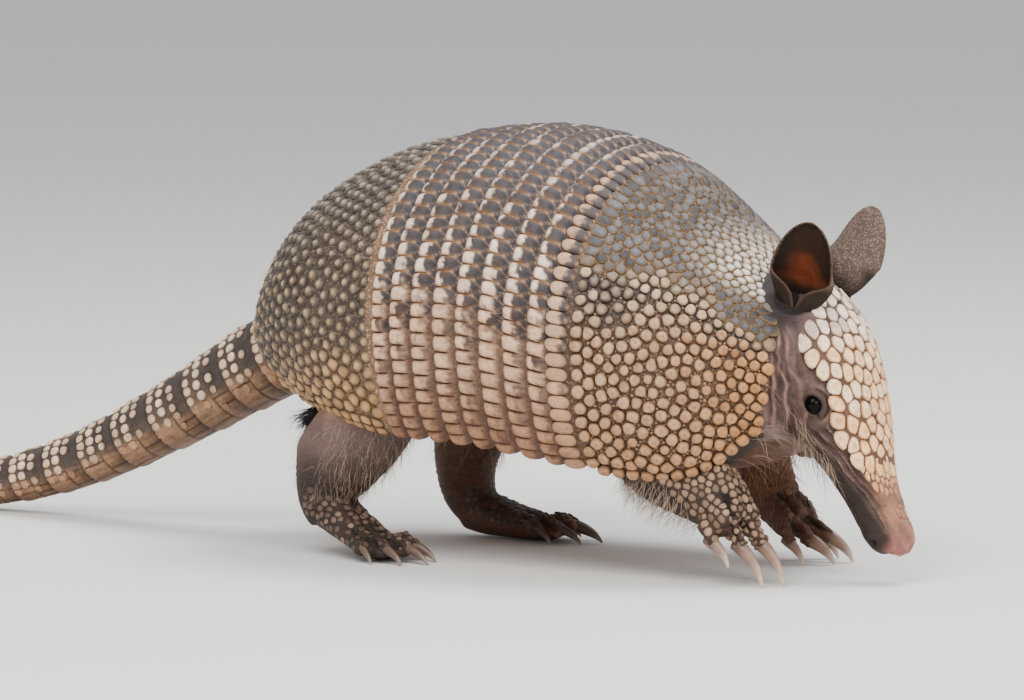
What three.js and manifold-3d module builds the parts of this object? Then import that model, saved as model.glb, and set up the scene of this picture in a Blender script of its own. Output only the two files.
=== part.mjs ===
// A nine-banded armadillo walking with its nose to the floor, as a still, life-size model.
// Millimetres. +X runs towards the head, +Y to the animal's left, +Z up, and the floor is Z = 0.
// Every node is one closed solid. Flesh is parted at the neck, legs, feet and tail rings, and
// the armour stands on the flesh as separate plates.
import * as THREE from "three";
import { mergeVertices } from "three/addons/utils/BufferGeometryUtils.js";
import Module from "manifold-3d";

const wasm = await Module();
wasm.setup();

// Driving dimensions.
const gap = 0.3; // clearance between neighbouring solids
const cutTolerance = 0.08; // how far a face may move when the slivers of a cut are dropped
const plateThickness = 4.2; // armour of the back
const headPlateThickness = 2;
const shieldGrowDegrees = 4; // wider by this for each mm that the head shield grows as a cutter
const bandCount = 8;
const bandStart = 4; // carapace station where the pelvic shield ends
const bandEnd = 6; // carapace station where the shoulder shield starts
const shellColumns = 18; // facets of the carapace from rim to rim
const pelvicRows = 7;
const shoulderRows = 6;
const widestShare = 0.66; // share of a half section from the spine to its widest point
const rimCurl = THREE.MathUtils.degToRad(72); // how far the lower edge turns under the body
const sides = { right: -1, left: 1 };

// Carapace sections from the tail opening to the neck opening. Each one runs from a top point
// over the greatest half width to a rim point. level is the widest point's share of the height,
// and bow pushes the flank forward of a straight line from top to rim.
const carapace = [
  { topX: -115, topZ: 98.5, rimX: -78.5, rimY: 41, rimZ: 62, halfWidth: 49, level: 0.52, bow: 0 },
  { topX: -105.5, topZ: 122, rimX: -62, rimY: 52, rimZ: 59.5, halfWidth: 62.5, level: 0.55, bow: 0 },
  { topX: -84, topZ: 148.5, rimX: -46, rimY: 60.5, rimZ: 58, halfWidth: 75, level: 0.57, bow: 0 },
  { topX: -51, topZ: 168, rimX: -29, rimY: 66, rimZ: 55.5, halfWidth: 81, level: 0.6, bow: 0 },
  { topX: -14.5, topZ: 176.5, rimX: -11, rimY: 68, rimZ: 53.5, halfWidth: 83, level: 0.61, bow: 0 },
  { topX: 29.5, topZ: 179.5, rimX: 30, rimY: 68, rimZ: 51.5, halfWidth: 83, level: 0.61, bow: 0 },
  { topX: 73, topZ: 169, rimX: 75.5, rimY: 65, rimZ: 45.5, halfWidth: 79.5, level: 0.61, bow: 0 },
  { topX: 103, topZ: 147.5, rimX: 112, rimY: 56, rimZ: 42.5, halfWidth: 69.5, level: 0.61, bow: 2.5 },
  { topX: 125.5, topZ: 130, rimX: 129, rimY: 47, rimZ: 48, halfWidth: 54.5, level: 0.61, bow: 6 },
  { topX: 139.5, topZ: 117.5, rimX: 149, rimY: 39.5, rimZ: 65, halfWidth: 41, level: 0.65, bow: 9 },
];
const lastStation = carapace.length - 1;

// Head sections along its own axis: at is the distance from the back of the skull, up and down
// the reach towards the forehead and the jaw, and halfWidth the reach to each side.
const skullBack = new THREE.Vector3(143.5, 0, 110.5);
const noseTip = new THREE.Vector3(187.5, 0, 13);
const headSections = [
  { at: -8, up: 8, down: 12, halfWidth: 12 },
  { at: 0, up: 13.5, down: 21, halfWidth: 20 },
  { at: 14, up: 17.5, down: 26, halfWidth: 24 },
  { at: 30, up: 18.5, down: 27, halfWidth: 24.5 },
  { at: 46, up: 16.5, down: 24.5, halfWidth: 21 },
  { at: 60, up: 14, down: 18.5, halfWidth: 16.5 },
  { at: 74, up: 11, down: 14.5, halfWidth: 12.5 },
  { at: 87, up: 10, down: 12, halfWidth: 10 },
  { at: 97, up: 10, down: 11, halfWidth: 9.5 },
  { at: 104, up: 8.5, down: 8.5, halfWidth: 8.5 },
  { at: 107.5, up: 5.5, down: 5, halfWidth: 6 },
];
// The head shield's edge: how far round from the forehead it reaches, in degrees. It narrows
// above the eye and towards the snout.
const headShieldEdge = [
  { at: -4, arc: 46 },
  { at: 5, arc: 62 },
  { at: 14, arc: 67 },
  { at: 23, arc: 68 },
  { at: 32, arc: 60 },
  { at: 40, arc: 53 },
  { at: 49, arc: 63 },
  { at: 60, arc: 71 },
  { at: 69, arc: 58 },
  { at: 77, arc: 24 },
];
const eye = { at: 42, turn: THREE.MathUtils.degToRad(86), radius: 4.6, sunk: 2.2 };
// Each ear runs from its root on the skull to its tip. The right one is carried a little lower.
const earPlaces = {
  right: { root: new THREE.Vector3(148.5, -18.5, 107), tip: new THREE.Vector3(160.3, -24, 146.8) },
  left: { root: new THREE.Vector3(149.5, 18.5, 110), tip: new THREE.Vector3(164, 24, 151.2) },
};
const ear = { halfWidth: 13.4, thickness: 1.6, cup: 7, stalk: 5 };

// The tail's path from the rump to the tip, with its radius at each point.
const tailPath = [
  { x: -94, y: 0, z: 91, radius: 22 },
  { x: -130, y: 0, z: 74, radius: 19 },
  { x: -180, y: 0, z: 48, radius: 15.6 },
  { x: -230, y: 0, z: 26, radius: 13 },
  { x: -278, y: -2, z: 12.6, radius: 10.6 },
  { x: -325, y: -10, z: 8.3, radius: 8.5 },
  { x: -370, y: -24, z: 6.4, radius: 6.6 },
  { x: -412, y: -43, z: 4.6, radius: 4.8 },
  { x: -448, y: -65, z: 2.9, radius: 3.1 },
];
const tailRingCount = 12;
const tailRingShare = 0.62; // share of the tail's path that carries rings
const tailRingFlare = 0.04;
const tailTipSteps = 6;

// Leg paths: points from inside the body to the foot, with the reach across and along the stride.
const forelegs = {
  right: [
    { x: 92, y: -42, z: 66, across: 17, along: 25 },
    { x: 107, y: -43, z: 50, across: 16, along: 22 },
    { x: 120.5, y: -42, z: 39.5, across: 14, along: 16.5 },
    { x: 130, y: -41, z: 33, across: 13, along: 13 },
    { x: 134.5, y: -41, z: 28, across: 12, along: 10.5 },
  ],
  left: [
    { x: 90, y: 38, z: 72, across: 16, along: 20 },
    { x: 94.5, y: 40, z: 55, across: 14, along: 15.5 },
    { x: 98, y: 40, z: 41, across: 12.5, along: 12.5 },
    { x: 103, y: 40, z: 29, across: 12, along: 11 },
    { x: 108.5, y: 40, z: 20, across: 11.5, along: 10 },
  ],
};
const hindlegs = {
  right: [
    { x: -40, y: -42, z: 78, across: 20, along: 30 },
    { x: -48.5, y: -46, z: 56, across: 18, along: 25.5 },
    { x: -57, y: -48, z: 39, across: 15, along: 20.5 },
    { x: -61, y: -49, z: 25, across: 12.5, along: 14.5 },
    { x: -57, y: -50, z: 15, across: 11, along: 11 },
  ],
  left: [
    { x: -41, y: 38, z: 76, across: 18, along: 26 },
    { x: -49, y: 40, z: 52, across: 15.5, along: 19.5 },
    { x: -54, y: 41, z: 34, across: 13.5, along: 15 },
    { x: -53, y: 41, z: 20, across: 12, along: 12.5 },
    { x: -47, y: 41, z: 11, across: 10.5, along: 10 },
  ],
};

// Feet. palm is the path from the wrist or heel to the knuckles. A toe runs from the knuckle line
// to its end, and its claw reaches on from there and comes down to a tip height.
const shortestToe = 4;
const walkingHand = {
  palm: [
    { ahead: -6, height: 35, across: 11, tall: 10 },
    { ahead: 0, height: 29.5, across: 13.5, tall: 10 },
    { ahead: 5, height: 24, across: 14.5, tall: 8.5 },
    { ahead: 8, height: 20, across: 12.5, tall: 6.5 },
  ],
  knuckle: { ahead: 2, height: 25 },
  toes: [
    { across: 11.5, spread: 8, ahead: 5, height: 17, girth: 4, claw: 9, tip: 5 },
    { across: 4.5, spread: 2, ahead: 11, height: 16.5, girth: 4.9, claw: 12.5, tip: -0.2 },
    { across: -4.5, spread: -2, ahead: 7.5, height: 15.5, girth: 5, claw: 12.5, tip: -0.2 },
    { across: -11.5, spread: -10, ahead: -2, height: 17.5, girth: 4.2, claw: 10.5, tip: 8 },
  ],
  clawRadius: 4.4,
};
const restingHand = {
  palm: [
    { ahead: -7, height: 25, across: 11, tall: 9 },
    { ahead: -1, height: 20, across: 13.5, tall: 9.5 },
    { ahead: 4, height: 15.5, across: 14.5, tall: 8.5 },
    { ahead: 8, height: 12, across: 12.5, tall: 6.5 },
  ],
  knuckle: { ahead: 2, height: 15 },
  toes: [
    { across: 11, spread: 10, ahead: 5, height: 9, girth: 4, claw: 9, tip: -0.2 },
    { across: 4, spread: 2, ahead: 10, height: 9, girth: 4.8, claw: 14, tip: -0.2 },
    { across: -5, spread: -6, ahead: 13, height: 10, girth: 4.9, claw: 13, tip: -0.2 },
    { across: -12, spread: -14, ahead: 5, height: 10, girth: 4.2, claw: 10, tip: -0.2 },
  ],
  clawRadius: 4.2,
};
const hindfoot = {
  palm: [
    { ahead: -11, height: 10, across: 8, tall: 8 },
    { ahead: 0, height: 9.5, across: 11, tall: 9.5 },
    { ahead: 14, height: 7, across: 13, tall: 7.5 },
    { ahead: 26, height: 5.4, across: 13.5, tall: 6 },
    { ahead: 34, height: 4.6, across: 12, tall: 5 },
  ],
  knuckle: { ahead: 27, height: 6 },
  toes: [
    { across: 12, spread: 15, ahead: 31, height: 5.2, girth: 4, claw: 8.5, tip: -0.2 },
    { across: 6.6, spread: 7, ahead: 39, height: 5.2, girth: 4.5, claw: 12, tip: -0.2 },
    { across: 0, spread: 0, ahead: 42, height: 5.2, girth: 4.7, claw: 14, tip: -0.2 },
    { across: -6.6, spread: -7, ahead: 38, height: 5.2, girth: 4.5, claw: 12, tip: -0.2 },
    { across: -12, spread: -15, ahead: 29, height: 5.2, girth: 4, claw: 8.5, tip: -0.2 },
  ],
  clawRadius: 3.6,
};
// Where each foot stands, its heading in degrees, the side its inner toe lies on and how far the
// heel is off the floor.
const footPlaces = {
  forefoot_right: { shape: walkingHand, x: 134, y: -41, turn: 0, inner: 1, lift: 0 },
  forefoot_left: { shape: restingHand, x: 112, y: 40, turn: 3, inner: -1, lift: 0 },
  hindfoot_right: { shape: hindfoot, x: -57, y: -50, turn: -10, inner: 1, lift: 12 },
  hindfoot_left: { shape: hindfoot, x: -42, y: 41, turn: 5, inner: -1, lift: 0 },
};

const finishes = {
  armour: { color: 0x9c8872, roughness: 0.62 },
  skin: { color: 0x7d6a60, roughness: 0.75 },
  ear: { color: 0x5b473d, roughness: 0.7 },
  eye: { color: 0x0d0a08, roughness: 0.12 },
  claw: { color: 0xc3a68e, roughness: 0.4 },
};
const materials = Object.fromEntries(
  Object.entries(finishes).map(([name, look]) => [
    name,
    new THREE.MeshStandardMaterial({ ...look, metalness: 0 }),
  ]),
);

// ---- Solids ----

// A closed surface from points and triangles as a manifold-3d solid, turned to face outwards.
function solidOf(points, triangles) {
  const geometry = new THREE.BufferGeometry().setFromPoints(points);
  geometry.setIndex(triangles);
  const merged = mergeVertices(geometry, 1e-4);
  const places = merged.attributes.position;
  const index = merged.index.array;
  const [a, b, c] = [new THREE.Vector3(), new THREE.Vector3(), new THREE.Vector3()];
  const kept = [];
  let volume = 0;
  for (let i = 0; i < index.length; i += 3) {
    const [p, q, r] = index.slice(i, i + 3);
    if (p === q || q === r || r === p) continue;
    kept.push(p, q, r);
    a.fromBufferAttribute(places, p);
    b.fromBufferAttribute(places, q);
    c.fromBufferAttribute(places, r);
    volume += a.dot(b.cross(c));
  }
  if (volume < 0) kept.reverse();
  const mesh = { numProp: 3, vertProperties: places.array, triVerts: new Uint32Array(kept) };
  return new wasm.Manifold(new wasm.Mesh(mesh));
}

// Joins rings of equal length with a skin, and closes both ends with a fan.
function loft(rings) {
  const size = rings[0].length;
  const points = rings.flat();
  const triangles = [];
  for (let r = 0; r + 1 < rings.length; r++) {
    for (let i = 0; i < size; i++) {
      const [here, next] = [r * size + i, r * size + ((i + 1) % size)];
      triangles.push(here, next, next + size, here, next + size, here + size);
    }
  }
  const lastRing = (rings.length - 1) * size;
  for (const [start, flip] of [[0, true], [lastRing, false]]) {
    const centre = new THREE.Vector3();
    for (let i = 0; i < size; i++) centre.add(points[start + i]);
    points.push(centre.divideScalar(size));
    const hub = points.length - 1;
    for (let i = 0; i < size; i++) {
      const [here, next] = [start + i, start + ((i + 1) % size)];
      triangles.push(hub, flip ? next : here, flip ? here : next);
    }
  }
  return solidOf(points, triangles);
}

// A plate between an outer and an inner grid of points, closed round its four edges.
function plate(outer, inner) {
  const [rows, columns] = [outer.length, outer[0].length];
  const points = [...outer.flat(), ...inner.flat()];
  const under = rows * columns;
  const triangles = [];
  const quad = (a, b, c, d) => triangles.push(a, b, c, a, c, d);
  for (let r = 0; r + 1 < rows; r++) {
    for (let c = 0; c + 1 < columns; c++) {
      const a = r * columns + c;
      quad(a, a + 1, a + columns + 1, a + columns);
      quad(under + a, under + a + columns, under + a + columns + 1, under + a + 1);
    }
  }
  for (let r = 0; r + 1 < rows; r++) {
    const [first, last] = [r * columns, r * columns + columns - 1];
    quad(first, first + columns, under + first + columns, under + first);
    quad(last, under + last, under + last + columns, last + columns);
  }
  const lastRow = (rows - 1) * columns;
  for (let c = 0; c + 1 < columns; c++) {
    quad(c, under + c, under + c + 1, c + 1);
    quad(lastRow + c, lastRow + c + 1, under + lastRow + c + 1, under + lastRow + c);
  }
  return solidOf(points, triangles);
}

// Keeps the largest of the bodies that a cut leaves.
function largest(solid) {
  return solid.decompose().reduce((best, body) => (body.volume() > best.volume() ? body : best));
}

// Takes the tools away from a solid and drops the slivers that the cuts leave on its faces.
function cut(solid, ...tools) {
  const left = tools.reduce((rest, tool) => rest.subtract(tool), solid);
  return largest(largest(left).simplify(cutTolerance));
}

// A box from low to high, as cutting space above or below a level.
function boxSolid(low, high) {
  const size = new THREE.Vector3().subVectors(high, low);
  const box = new THREE.BoxGeometry(size.x, size.y, size.z);
  box.translate(...new THREE.Vector3().addVectors(low, high).multiplyScalar(0.5));
  const points = [];
  for (let i = 0; i < box.attributes.position.count; i++) {
    points.push(new THREE.Vector3().fromBufferAttribute(box.attributes.position, i));
  }
  return solidOf(points, [...box.index.array]);
}

const floorCut = boxSolid(new THREE.Vector3(-700, -300, -60), new THREE.Vector3(400, 300, 0));

// ---- Curves ----

// Smooth value of one column of a table at a fractional row.
function column(table, name, row) {
  const last = table.length - 1;
  const i = Math.min(Math.max(Math.floor(row), 0), last - 1);
  const value = (k) => table[Math.min(Math.max(k, 0), last)][name];
  const t = row - i;
  const [a, b, c, d] = [value(i - 1), value(i), value(i + 1), value(i + 2)];
  return b + 0.5 * t * (c - a + t * (2 * a - 5 * b + 4 * c - d + t * (3 * (b - c) + d - a)));
}

// A table's rows resampled evenly by row number.
function resample(table, count, from = 0, to = table.length - 1) {
  return Array.from({ length: count + 1 }, (_, i) => {
    const row = from + ((to - from) * i) / count;
    return Object.fromEntries(Object.keys(table[0]).map((name) => [name, column(table, name, row)]));
  });
}

// Elliptic rings square to a path. across lies level, and along is the other half axis.
function tubeRings(path, facets, grow = 0) {
  const places = path.map((p) => new THREE.Vector3(p.x, p.y, p.z));
  return path.map((p, k) => {
    const before = places[Math.max(k - 1, 0)];
    const after = places[Math.min(k + 1, path.length - 1)];
    const heading = new THREE.Vector3().subVectors(after, before).normalize();
    const sideways = new THREE.Vector3(0, 1, 0).addScaledVector(heading, -heading.y).normalize();
    const upright = new THREE.Vector3().crossVectors(heading, sideways);
    return Array.from({ length: facets }, (_, i) => {
      const angle = (i / facets) * 2 * Math.PI;
      return places[k]
        .clone()
        .addScaledVector(sideways, (p.across + grow) * Math.cos(angle))
        .addScaledVector(upright, (p.along + grow) * Math.sin(angle));
    });
  });
}

// ---- Carapace ----

// A point on the outside of the carapace. share runs from -1 at the right rim to 1 at the left.
function shellPoint(row, share) {
  const get = (name) => column(carapace, name, row);
  const reach = Math.abs(share);
  const [rimY, halfWidth, level] = [get("rimY"), get("halfWidth"), get("level")];
  let fall, out;
  if (reach <= widestShare) {
    const angle = (reach / widestShare) * (Math.PI / 2);
    fall = level * (1 - Math.cos(angle));
    out = halfWidth * Math.sin(angle);
  } else {
    const angle = ((reach - widestShare) / (1 - widestShare)) * rimCurl;
    fall = level + ((1 - level) * Math.sin(angle)) / Math.sin(rimCurl);
    const inwards = (1 - Math.cos(angle)) / (1 - Math.cos(rimCurl));
    out = halfWidth - (halfWidth - rimY) * inwards;
  }
  return new THREE.Vector3(
    THREE.MathUtils.lerp(get("topX"), get("rimX"), fall) + get("bow") * Math.sin(Math.PI * fall),
    Math.sign(share) * out,
    THREE.MathUtils.lerp(get("topZ"), get("rimZ"), fall),
  );
}

// The same point moved inwards along the surface's own normal.
function shellInset(row, share, depth) {
  const step = 0.01;
  const alongRow = shellPoint(row + step, share).sub(shellPoint(row - step, share));
  const alongShare = shellPoint(row, share + step).sub(shellPoint(row, share - step));
  const inwards = alongShare.cross(alongRow).normalize();
  return shellPoint(row, share).addScaledVector(inwards, depth);
}

function evenRows(from, to, count) {
  return Array.from({ length: count + 1 }, (_, r) => from + ((to - from) * r) / count);
}

// The facet lines of the whole carapace, shared by the plates and by what lies under them.
const facetRows = [
  ...evenRows(0, bandStart, pelvicRows),
  ...evenRows(bandStart, bandEnd, bandCount).slice(1, -1),
  ...evenRows(bandEnd, lastStation, shoulderRows),
];

// A plate that follows the carapace along given rows, between two depths. spread is the share of
// the section that it covers from side to side.
function shellPlate(rows, top = 0, under = plateThickness, spread = 1) {
  const grid = (depth) =>
    rows.map((row) =>
      Array.from({ length: shellColumns + 1 }, (_, c) =>
        shellInset(row, spread * ((2 * c) / shellColumns - 1), depth),
      ),
    );
  return plate(grid(top), grid(under));
}

function carapacePlates() {
  const stationLength = (carapace[bandEnd].topX - carapace[bandStart].topX) / (bandEnd - bandStart);
  const seam = gap / stationLength; // half of a seam between two plates, in stations
  const plates = {
    pelvic_shield: shellPlate(evenRows(0, bandStart - seam, pelvicRows)),
    shoulder_shield: shellPlate(evenRows(bandEnd + seam, lastStation, shoulderRows)),
  };
  const width = (bandEnd - bandStart) / bandCount;
  for (let i = 0; i < bandCount; i++) {
    const start = bandStart + i * width;
    plates[`band_${i + 1}`] = shellPlate([start + seam, start + width - seam]);
  }
  return plates;
}

// ---- Trunk and tail ----

// One closed section of the trunk: the arch under the armour, then the belly across.
function trunkRing(row, depth, swell) {
  const arch = shellColumns;
  const belly = 5;
  const ring = Array.from({ length: arch + 1 }, (_, i) => shellInset(row, (2 * i) / arch - 1, depth));
  const [right, left] = [ring[0], ring[arch]];
  for (let i = 1; i < belly; i++) {
    const share = i / belly;
    const point = new THREE.Vector3().lerpVectors(left, right, share);
    point.z -= swell * Math.sin(share * Math.PI);
    ring.push(point);
  }
  return ring;
}

// A ring drawn towards a point, for the rounded ends.
function shrunk(ring, target, share) {
  return ring.map((point) => point.clone().lerp(target, share));
}

function trunkSolid(grow = 0) {
  const depth = plateThickness + gap - grow;
  const rump = new THREE.Vector3(-104, 0, 78);
  const chest = new THREE.Vector3(116, 0, 78);
  const underBands = (row) => row > bandStart && row < bandEnd && row % 1 > 0;
  const rows = facetRows.slice(1, -2).filter((row) => !underBands(row));
  const rings = rows.map((row) => trunkRing(row, depth, 4 + grow));
  rings.unshift(shrunk(rings[0], rump, 0.3));
  rings.unshift(shrunk(rings[0], rump, 0.45));
  rings.push(shrunk(rings.at(-1), chest, 0.4));
  return loft(rings);
}

// A ring of points moved along its own axis and scaled about its middle.
function movedRing(ring, ahead, scale) {
  const middle = new THREE.Vector3();
  for (const point of ring) middle.addScaledVector(point, 1 / ring.length);
  const sideways = new THREE.Vector3().subVectors(ring[0], middle);
  const upright = new THREE.Vector3().subVectors(ring[ring.length / 4], middle);
  const heading = new THREE.Vector3().crossVectors(sideways, upright).normalize();
  return ring.map((point) =>
    middle.clone().lerp(point, scale).addScaledVector(heading, ahead),
  );
}

// Each ring widens towards the tip and overhangs the next one.
function tailPieces(rump) {
  const path = tailPath.map((p) => ({ ...p, across: p.radius, along: p.radius }));
  const last = path.length - 1;
  const ringEnd = last * tailRingShare;
  const seams = resample(path, tailRingCount, 0, ringEnd);
  const whip = resample(path, tailTipSteps, ringEnd, last).slice(1);
  const rings = tubeRings([...seams, ...whip], 12);
  const pieces = {};
  for (let i = 0; i < tailRingCount; i++) {
    const front = movedRing(rings[i], gap / 2, 1 - tailRingFlare);
    const rear = movedRing(rings[i + 1], -gap / 2, 1 + tailRingFlare);
    pieces[`tail_ring_${i + 1}`] = loft([front, rear]);
  }
  const tipStart = movedRing(rings[tailRingCount], gap / 2, 1);
  pieces.tail_tip = loft([tipStart, ...rings.slice(tailRingCount + 1)]);
  for (const name of Object.keys(pieces)) pieces[name] = cut(pieces[name], ...rump, floorCut);
  return pieces;
}

// ---- Head ----

const headAxis = new THREE.Vector3().subVectors(noseTip, skullBack).normalize();
const headUp = new THREE.Vector3(-headAxis.z, 0, headAxis.x); // towards the forehead
const headLeft = new THREE.Vector3(0, 1, 0);

// A point on the head: at along its axis, turn round it from the forehead, grow outwards.
function headPoint(at, turn, grow = 0) {
  let row = 0;
  while (row < headSections.length - 2 && headSections[row + 1].at < at) row++;
  const [low, high] = [headSections[row], headSections[row + 1]];
  const place = row + THREE.MathUtils.clamp((at - low.at) / (high.at - low.at), 0, 1);
  const get = (name) => column(headSections, name, place);
  const height = (Math.cos(turn) >= 0 ? get("up") : get("down")) + grow;
  return skullBack
    .clone()
    .addScaledVector(headAxis, at)
    .addScaledVector(headUp, height * Math.cos(turn))
    .addScaledVector(headLeft, (get("halfWidth") + grow) * Math.sin(turn));
}

function headSolid(grow = 0) {
  const facets = 16;
  const rings = [];
  for (const section of resample(headSections, 12)) {
    rings.push(
      Array.from({ length: facets }, (_, i) =>
        headPoint(section.at, (i / facets) * 2 * Math.PI, grow),
      ),
    );
  }
  return loft(rings);
}

function headShieldSolid(grow = 0) {
  const columns = 8;
  const last = headShieldEdge.length - 1;
  const grid = (out) =>
    headShieldEdge.map(({ at, arc }, i) => {
      const end = i === 0 ? -grow : i === last ? grow : 0;
      const reach = THREE.MathUtils.degToRad(arc + grow * shieldGrowDegrees);
      return Array.from({ length: columns + 1 }, (_, c) =>
        headPoint(at + end, ((2 * c) / columns - 1) * reach, out),
      );
    });
  const shield = plate(grid(gap + headPlateThickness + grow), grid(-1));
  return grow > 0 ? shield : cut(shield, headSolid(gap));
}

// A leaf-shaped cup on a short stalk, opening sideways. A grown ear is a cutter: its cup is filled.
function earSolid(name, grow = 0) {
  const { root, tip } = earPlaces[name];
  const lean = new THREE.Vector3().subVectors(tip, root);
  const length = lean.length();
  lean.normalize();
  const facing = new THREE.Vector3(0.16, sides[name] * 0.95, -0.26);
  facing.addScaledVector(lean, -facing.dot(lean)).normalize();
  const width = new THREE.Vector3().crossVectors(lean, facing);
  const [rows, columns] = [7, 6];
  const grid = (back, cup) =>
    Array.from({ length: rows + 1 }, (_, r) => {
      const share = r / rows;
      const leaf = Math.sqrt(Math.max(1 - ((share - 0.56) / 0.47) ** 2, 0));
      const half = ear.halfWidth * leaf + ear.stalk * (1 - share) ** 2;
      return Array.from({ length: columns + 1 }, (_, c) => {
        const across = (2 * c) / columns - 1;
        const bowl = cup * (1 - across * across) * (1 - 0.75 * share);
        return root
          .clone()
          .addScaledVector(lean, share * (length + 2 * grow) - grow)
          .addScaledVector(width, across * (half + grow))
          .addScaledVector(facing, -bowl - back);
      });
    });
  return plate(grid(-grow, grow > 0 ? 0 : ear.cup), grid(ear.thickness + grow, ear.cup));
}

function eyeSolid(side, grow = 0) {
  const centre = headPoint(eye.at, side * eye.turn, -eye.sunk);
  const ball = new THREE.IcosahedronGeometry(eye.radius + grow, 1);
  ball.translate(centre.x, centre.y, centre.z);
  const points = [];
  const places = ball.attributes.position;
  for (let i = 0; i < places.count; i++) {
    points.push(new THREE.Vector3().fromBufferAttribute(places, i));
  }
  return solidOf(points, points.map((_, i) => i));
}

function neckSolid() {
  const path = [
    { x: 112, y: 0, z: 88, across: 42, along: 42 },
    { x: 132, y: 0, z: 88, across: 38, along: 37 },
    { x: 146, y: 0, z: 87, across: 34, along: 32 },
    { x: 156, y: 0, z: 84, across: 26, along: 26 },
  ];
  return loft(tubeRings(path, 12));
}

// ---- Legs and feet ----

// A foot's own directions: ahead along the toes, and across towards the animal's midline.
function footFrame(place) {
  const turn = THREE.MathUtils.degToRad(place.turn);
  const ahead = new THREE.Vector3(Math.cos(turn), Math.sin(turn), 0);
  const inner = new THREE.Vector3(-Math.sin(turn), Math.cos(turn), 0).multiplyScalar(place.inner);
  const at = (forward, across, height) =>
    new THREE.Vector3(place.x, place.y, height)
      .addScaledVector(ahead, forward)
      .addScaledVector(inner, across);
  return { ahead, inner, at };
}

// A toe's direction, spread from the foot's own heading.
function toeHeading(frame, toe) {
  const spread = THREE.MathUtils.degToRad(toe.spread);
  return frame.ahead
    .clone()
    .multiplyScalar(Math.cos(spread))
    .addScaledVector(frame.inner, Math.sin(spread));
}

function pathPoint(place, across, along) {
  return { x: place.x, y: place.y, z: place.z, across, along };
}

function toePlaces(place, toe) {
  const frame = footFrame(place);
  const heading = toeHeading(frame, toe);
  const { knuckle } = place.shape;
  const rootAhead = Math.min(knuckle.ahead, toe.ahead - shortestToe);
  const root = frame.at(rootAhead, toe.across, knuckle.height);
  const end = frame.at(knuckle.ahead, toe.across, toe.height);
  end.addScaledVector(heading, toe.ahead - knuckle.ahead);
  return { heading, root, end };
}

function toeSolid(place, toe, grow = 0) {
  const { heading, root, end } = toePlaces(place, toe);
  const middle = new THREE.Vector3().lerpVectors(root, end, 0.55);
  middle.z += 1.5;
  const cap = end.clone().addScaledVector(heading, toe.girth * 0.5 + grow);
  cap.z -= 1;
  const path = [
    pathPoint(root, toe.girth + grow, toe.girth + grow),
    pathPoint(middle, toe.girth + 0.3 + grow, toe.girth + 0.5 + grow),
    pathPoint(end, toe.girth + grow, toe.girth + grow),
    pathPoint(cap, toe.girth * 0.8 + grow, toe.girth * 0.75 + grow),
  ];
  return loft(tubeRings(path, 6));
}

// A curved horn that leaves the toe's end and bends down to its tip.
function clawSolid(place, toe) {
  const { heading, end } = toePlaces(place, toe);
  const steps = 4;
  const start = end.clone().addScaledVector(heading, -1.5);
  const path = [];
  for (let i = 0; i <= steps; i++) {
    const share = i / steps;
    const point = start.clone().addScaledVector(heading, (toe.claw + 1.5) * Math.sin(share * 1.35));
    point.z = THREE.MathUtils.lerp(start.z + 0.8, toe.tip, share ** 1.35);
    const girth = place.shape.clawRadius * (toe.claw / 15) ** 0.4 * (1 - 0.86 * share ** 1.6);
    path.push(pathPoint(point, girth * 0.8, girth));
  }
  return loft(tubeRings(path, 6));
}

function footSolid(place, grow = 0) {
  const { shape } = place;
  const frame = footFrame(place);
  const reach = shape.knuckle.ahead - shape.palm[0].ahead;
  const palm = shape.palm.map((p) => {
    const raise = place.lift * Math.max((shape.knuckle.ahead - p.ahead) / reach, 0);
    return pathPoint(frame.at(p.ahead, 0, p.height + raise), p.across + grow, p.tall + grow);
  });
  const toes = shape.toes.map((toe) => toeSolid(place, toe, grow));
  return toes.reduce((foot, toe) => foot.add(toe), loft(tubeRings(palm, 10)));
}

function legSolid(path, grow = 0) {
  return loft(tubeRings(resample(path, 5), 12, grow));
}

// ---- Assembly ----

function geometryOf(solid) {
  const mesh = solid.getMesh();
  const geometry = new THREE.BufferGeometry();
  geometry.setAttribute("position", new THREE.BufferAttribute(mesh.vertProperties, mesh.numProp));
  geometry.setIndex(new THREE.BufferAttribute(mesh.triVerts, 1));
  const flat = geometry.toNonIndexed();
  flat.computeVertexNormals();
  return flat;
}

function addMesh(group, name, solid, finish) {
  const mesh = new THREE.Mesh(geometryOf(solid), materials[finish]);
  mesh.name = name;
  group.add(mesh);
}

function addArmour(group, armour) {
  for (const [name, solid] of Object.entries(armour)) addMesh(group, name, solid, "armour");
}

function addHead(group, underShell) {
  const eyes = Object.values(sides).map((side) => eyeSolid(side, gap));
  const shield = headShieldSolid();
  const skull = headSolid(gap);
  addMesh(group, "head", cut(headSolid(), ...eyes, underShell), "skin");
  for (const [name, side] of Object.entries(sides)) {
    addMesh(group, `ear_${name}`, cut(earSolid(name), skull, shield, underShell), "ear");
    addMesh(group, `eye_${name}`, eyeSolid(side), "eye");
  }
  const grownEars = Object.keys(sides).map((name) => earSolid(name, 2 * gap));
  addMesh(group, "head_shield", cut(shield, ...grownEars, underShell), "armour");
  const grownShield = headShieldSolid(2 * gap);
  const neck = cut(neckSolid(), skull, trunkSolid(gap), ...grownEars, grownShield, underShell);
  addMesh(group, "neck", neck, "skin");
}

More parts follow.
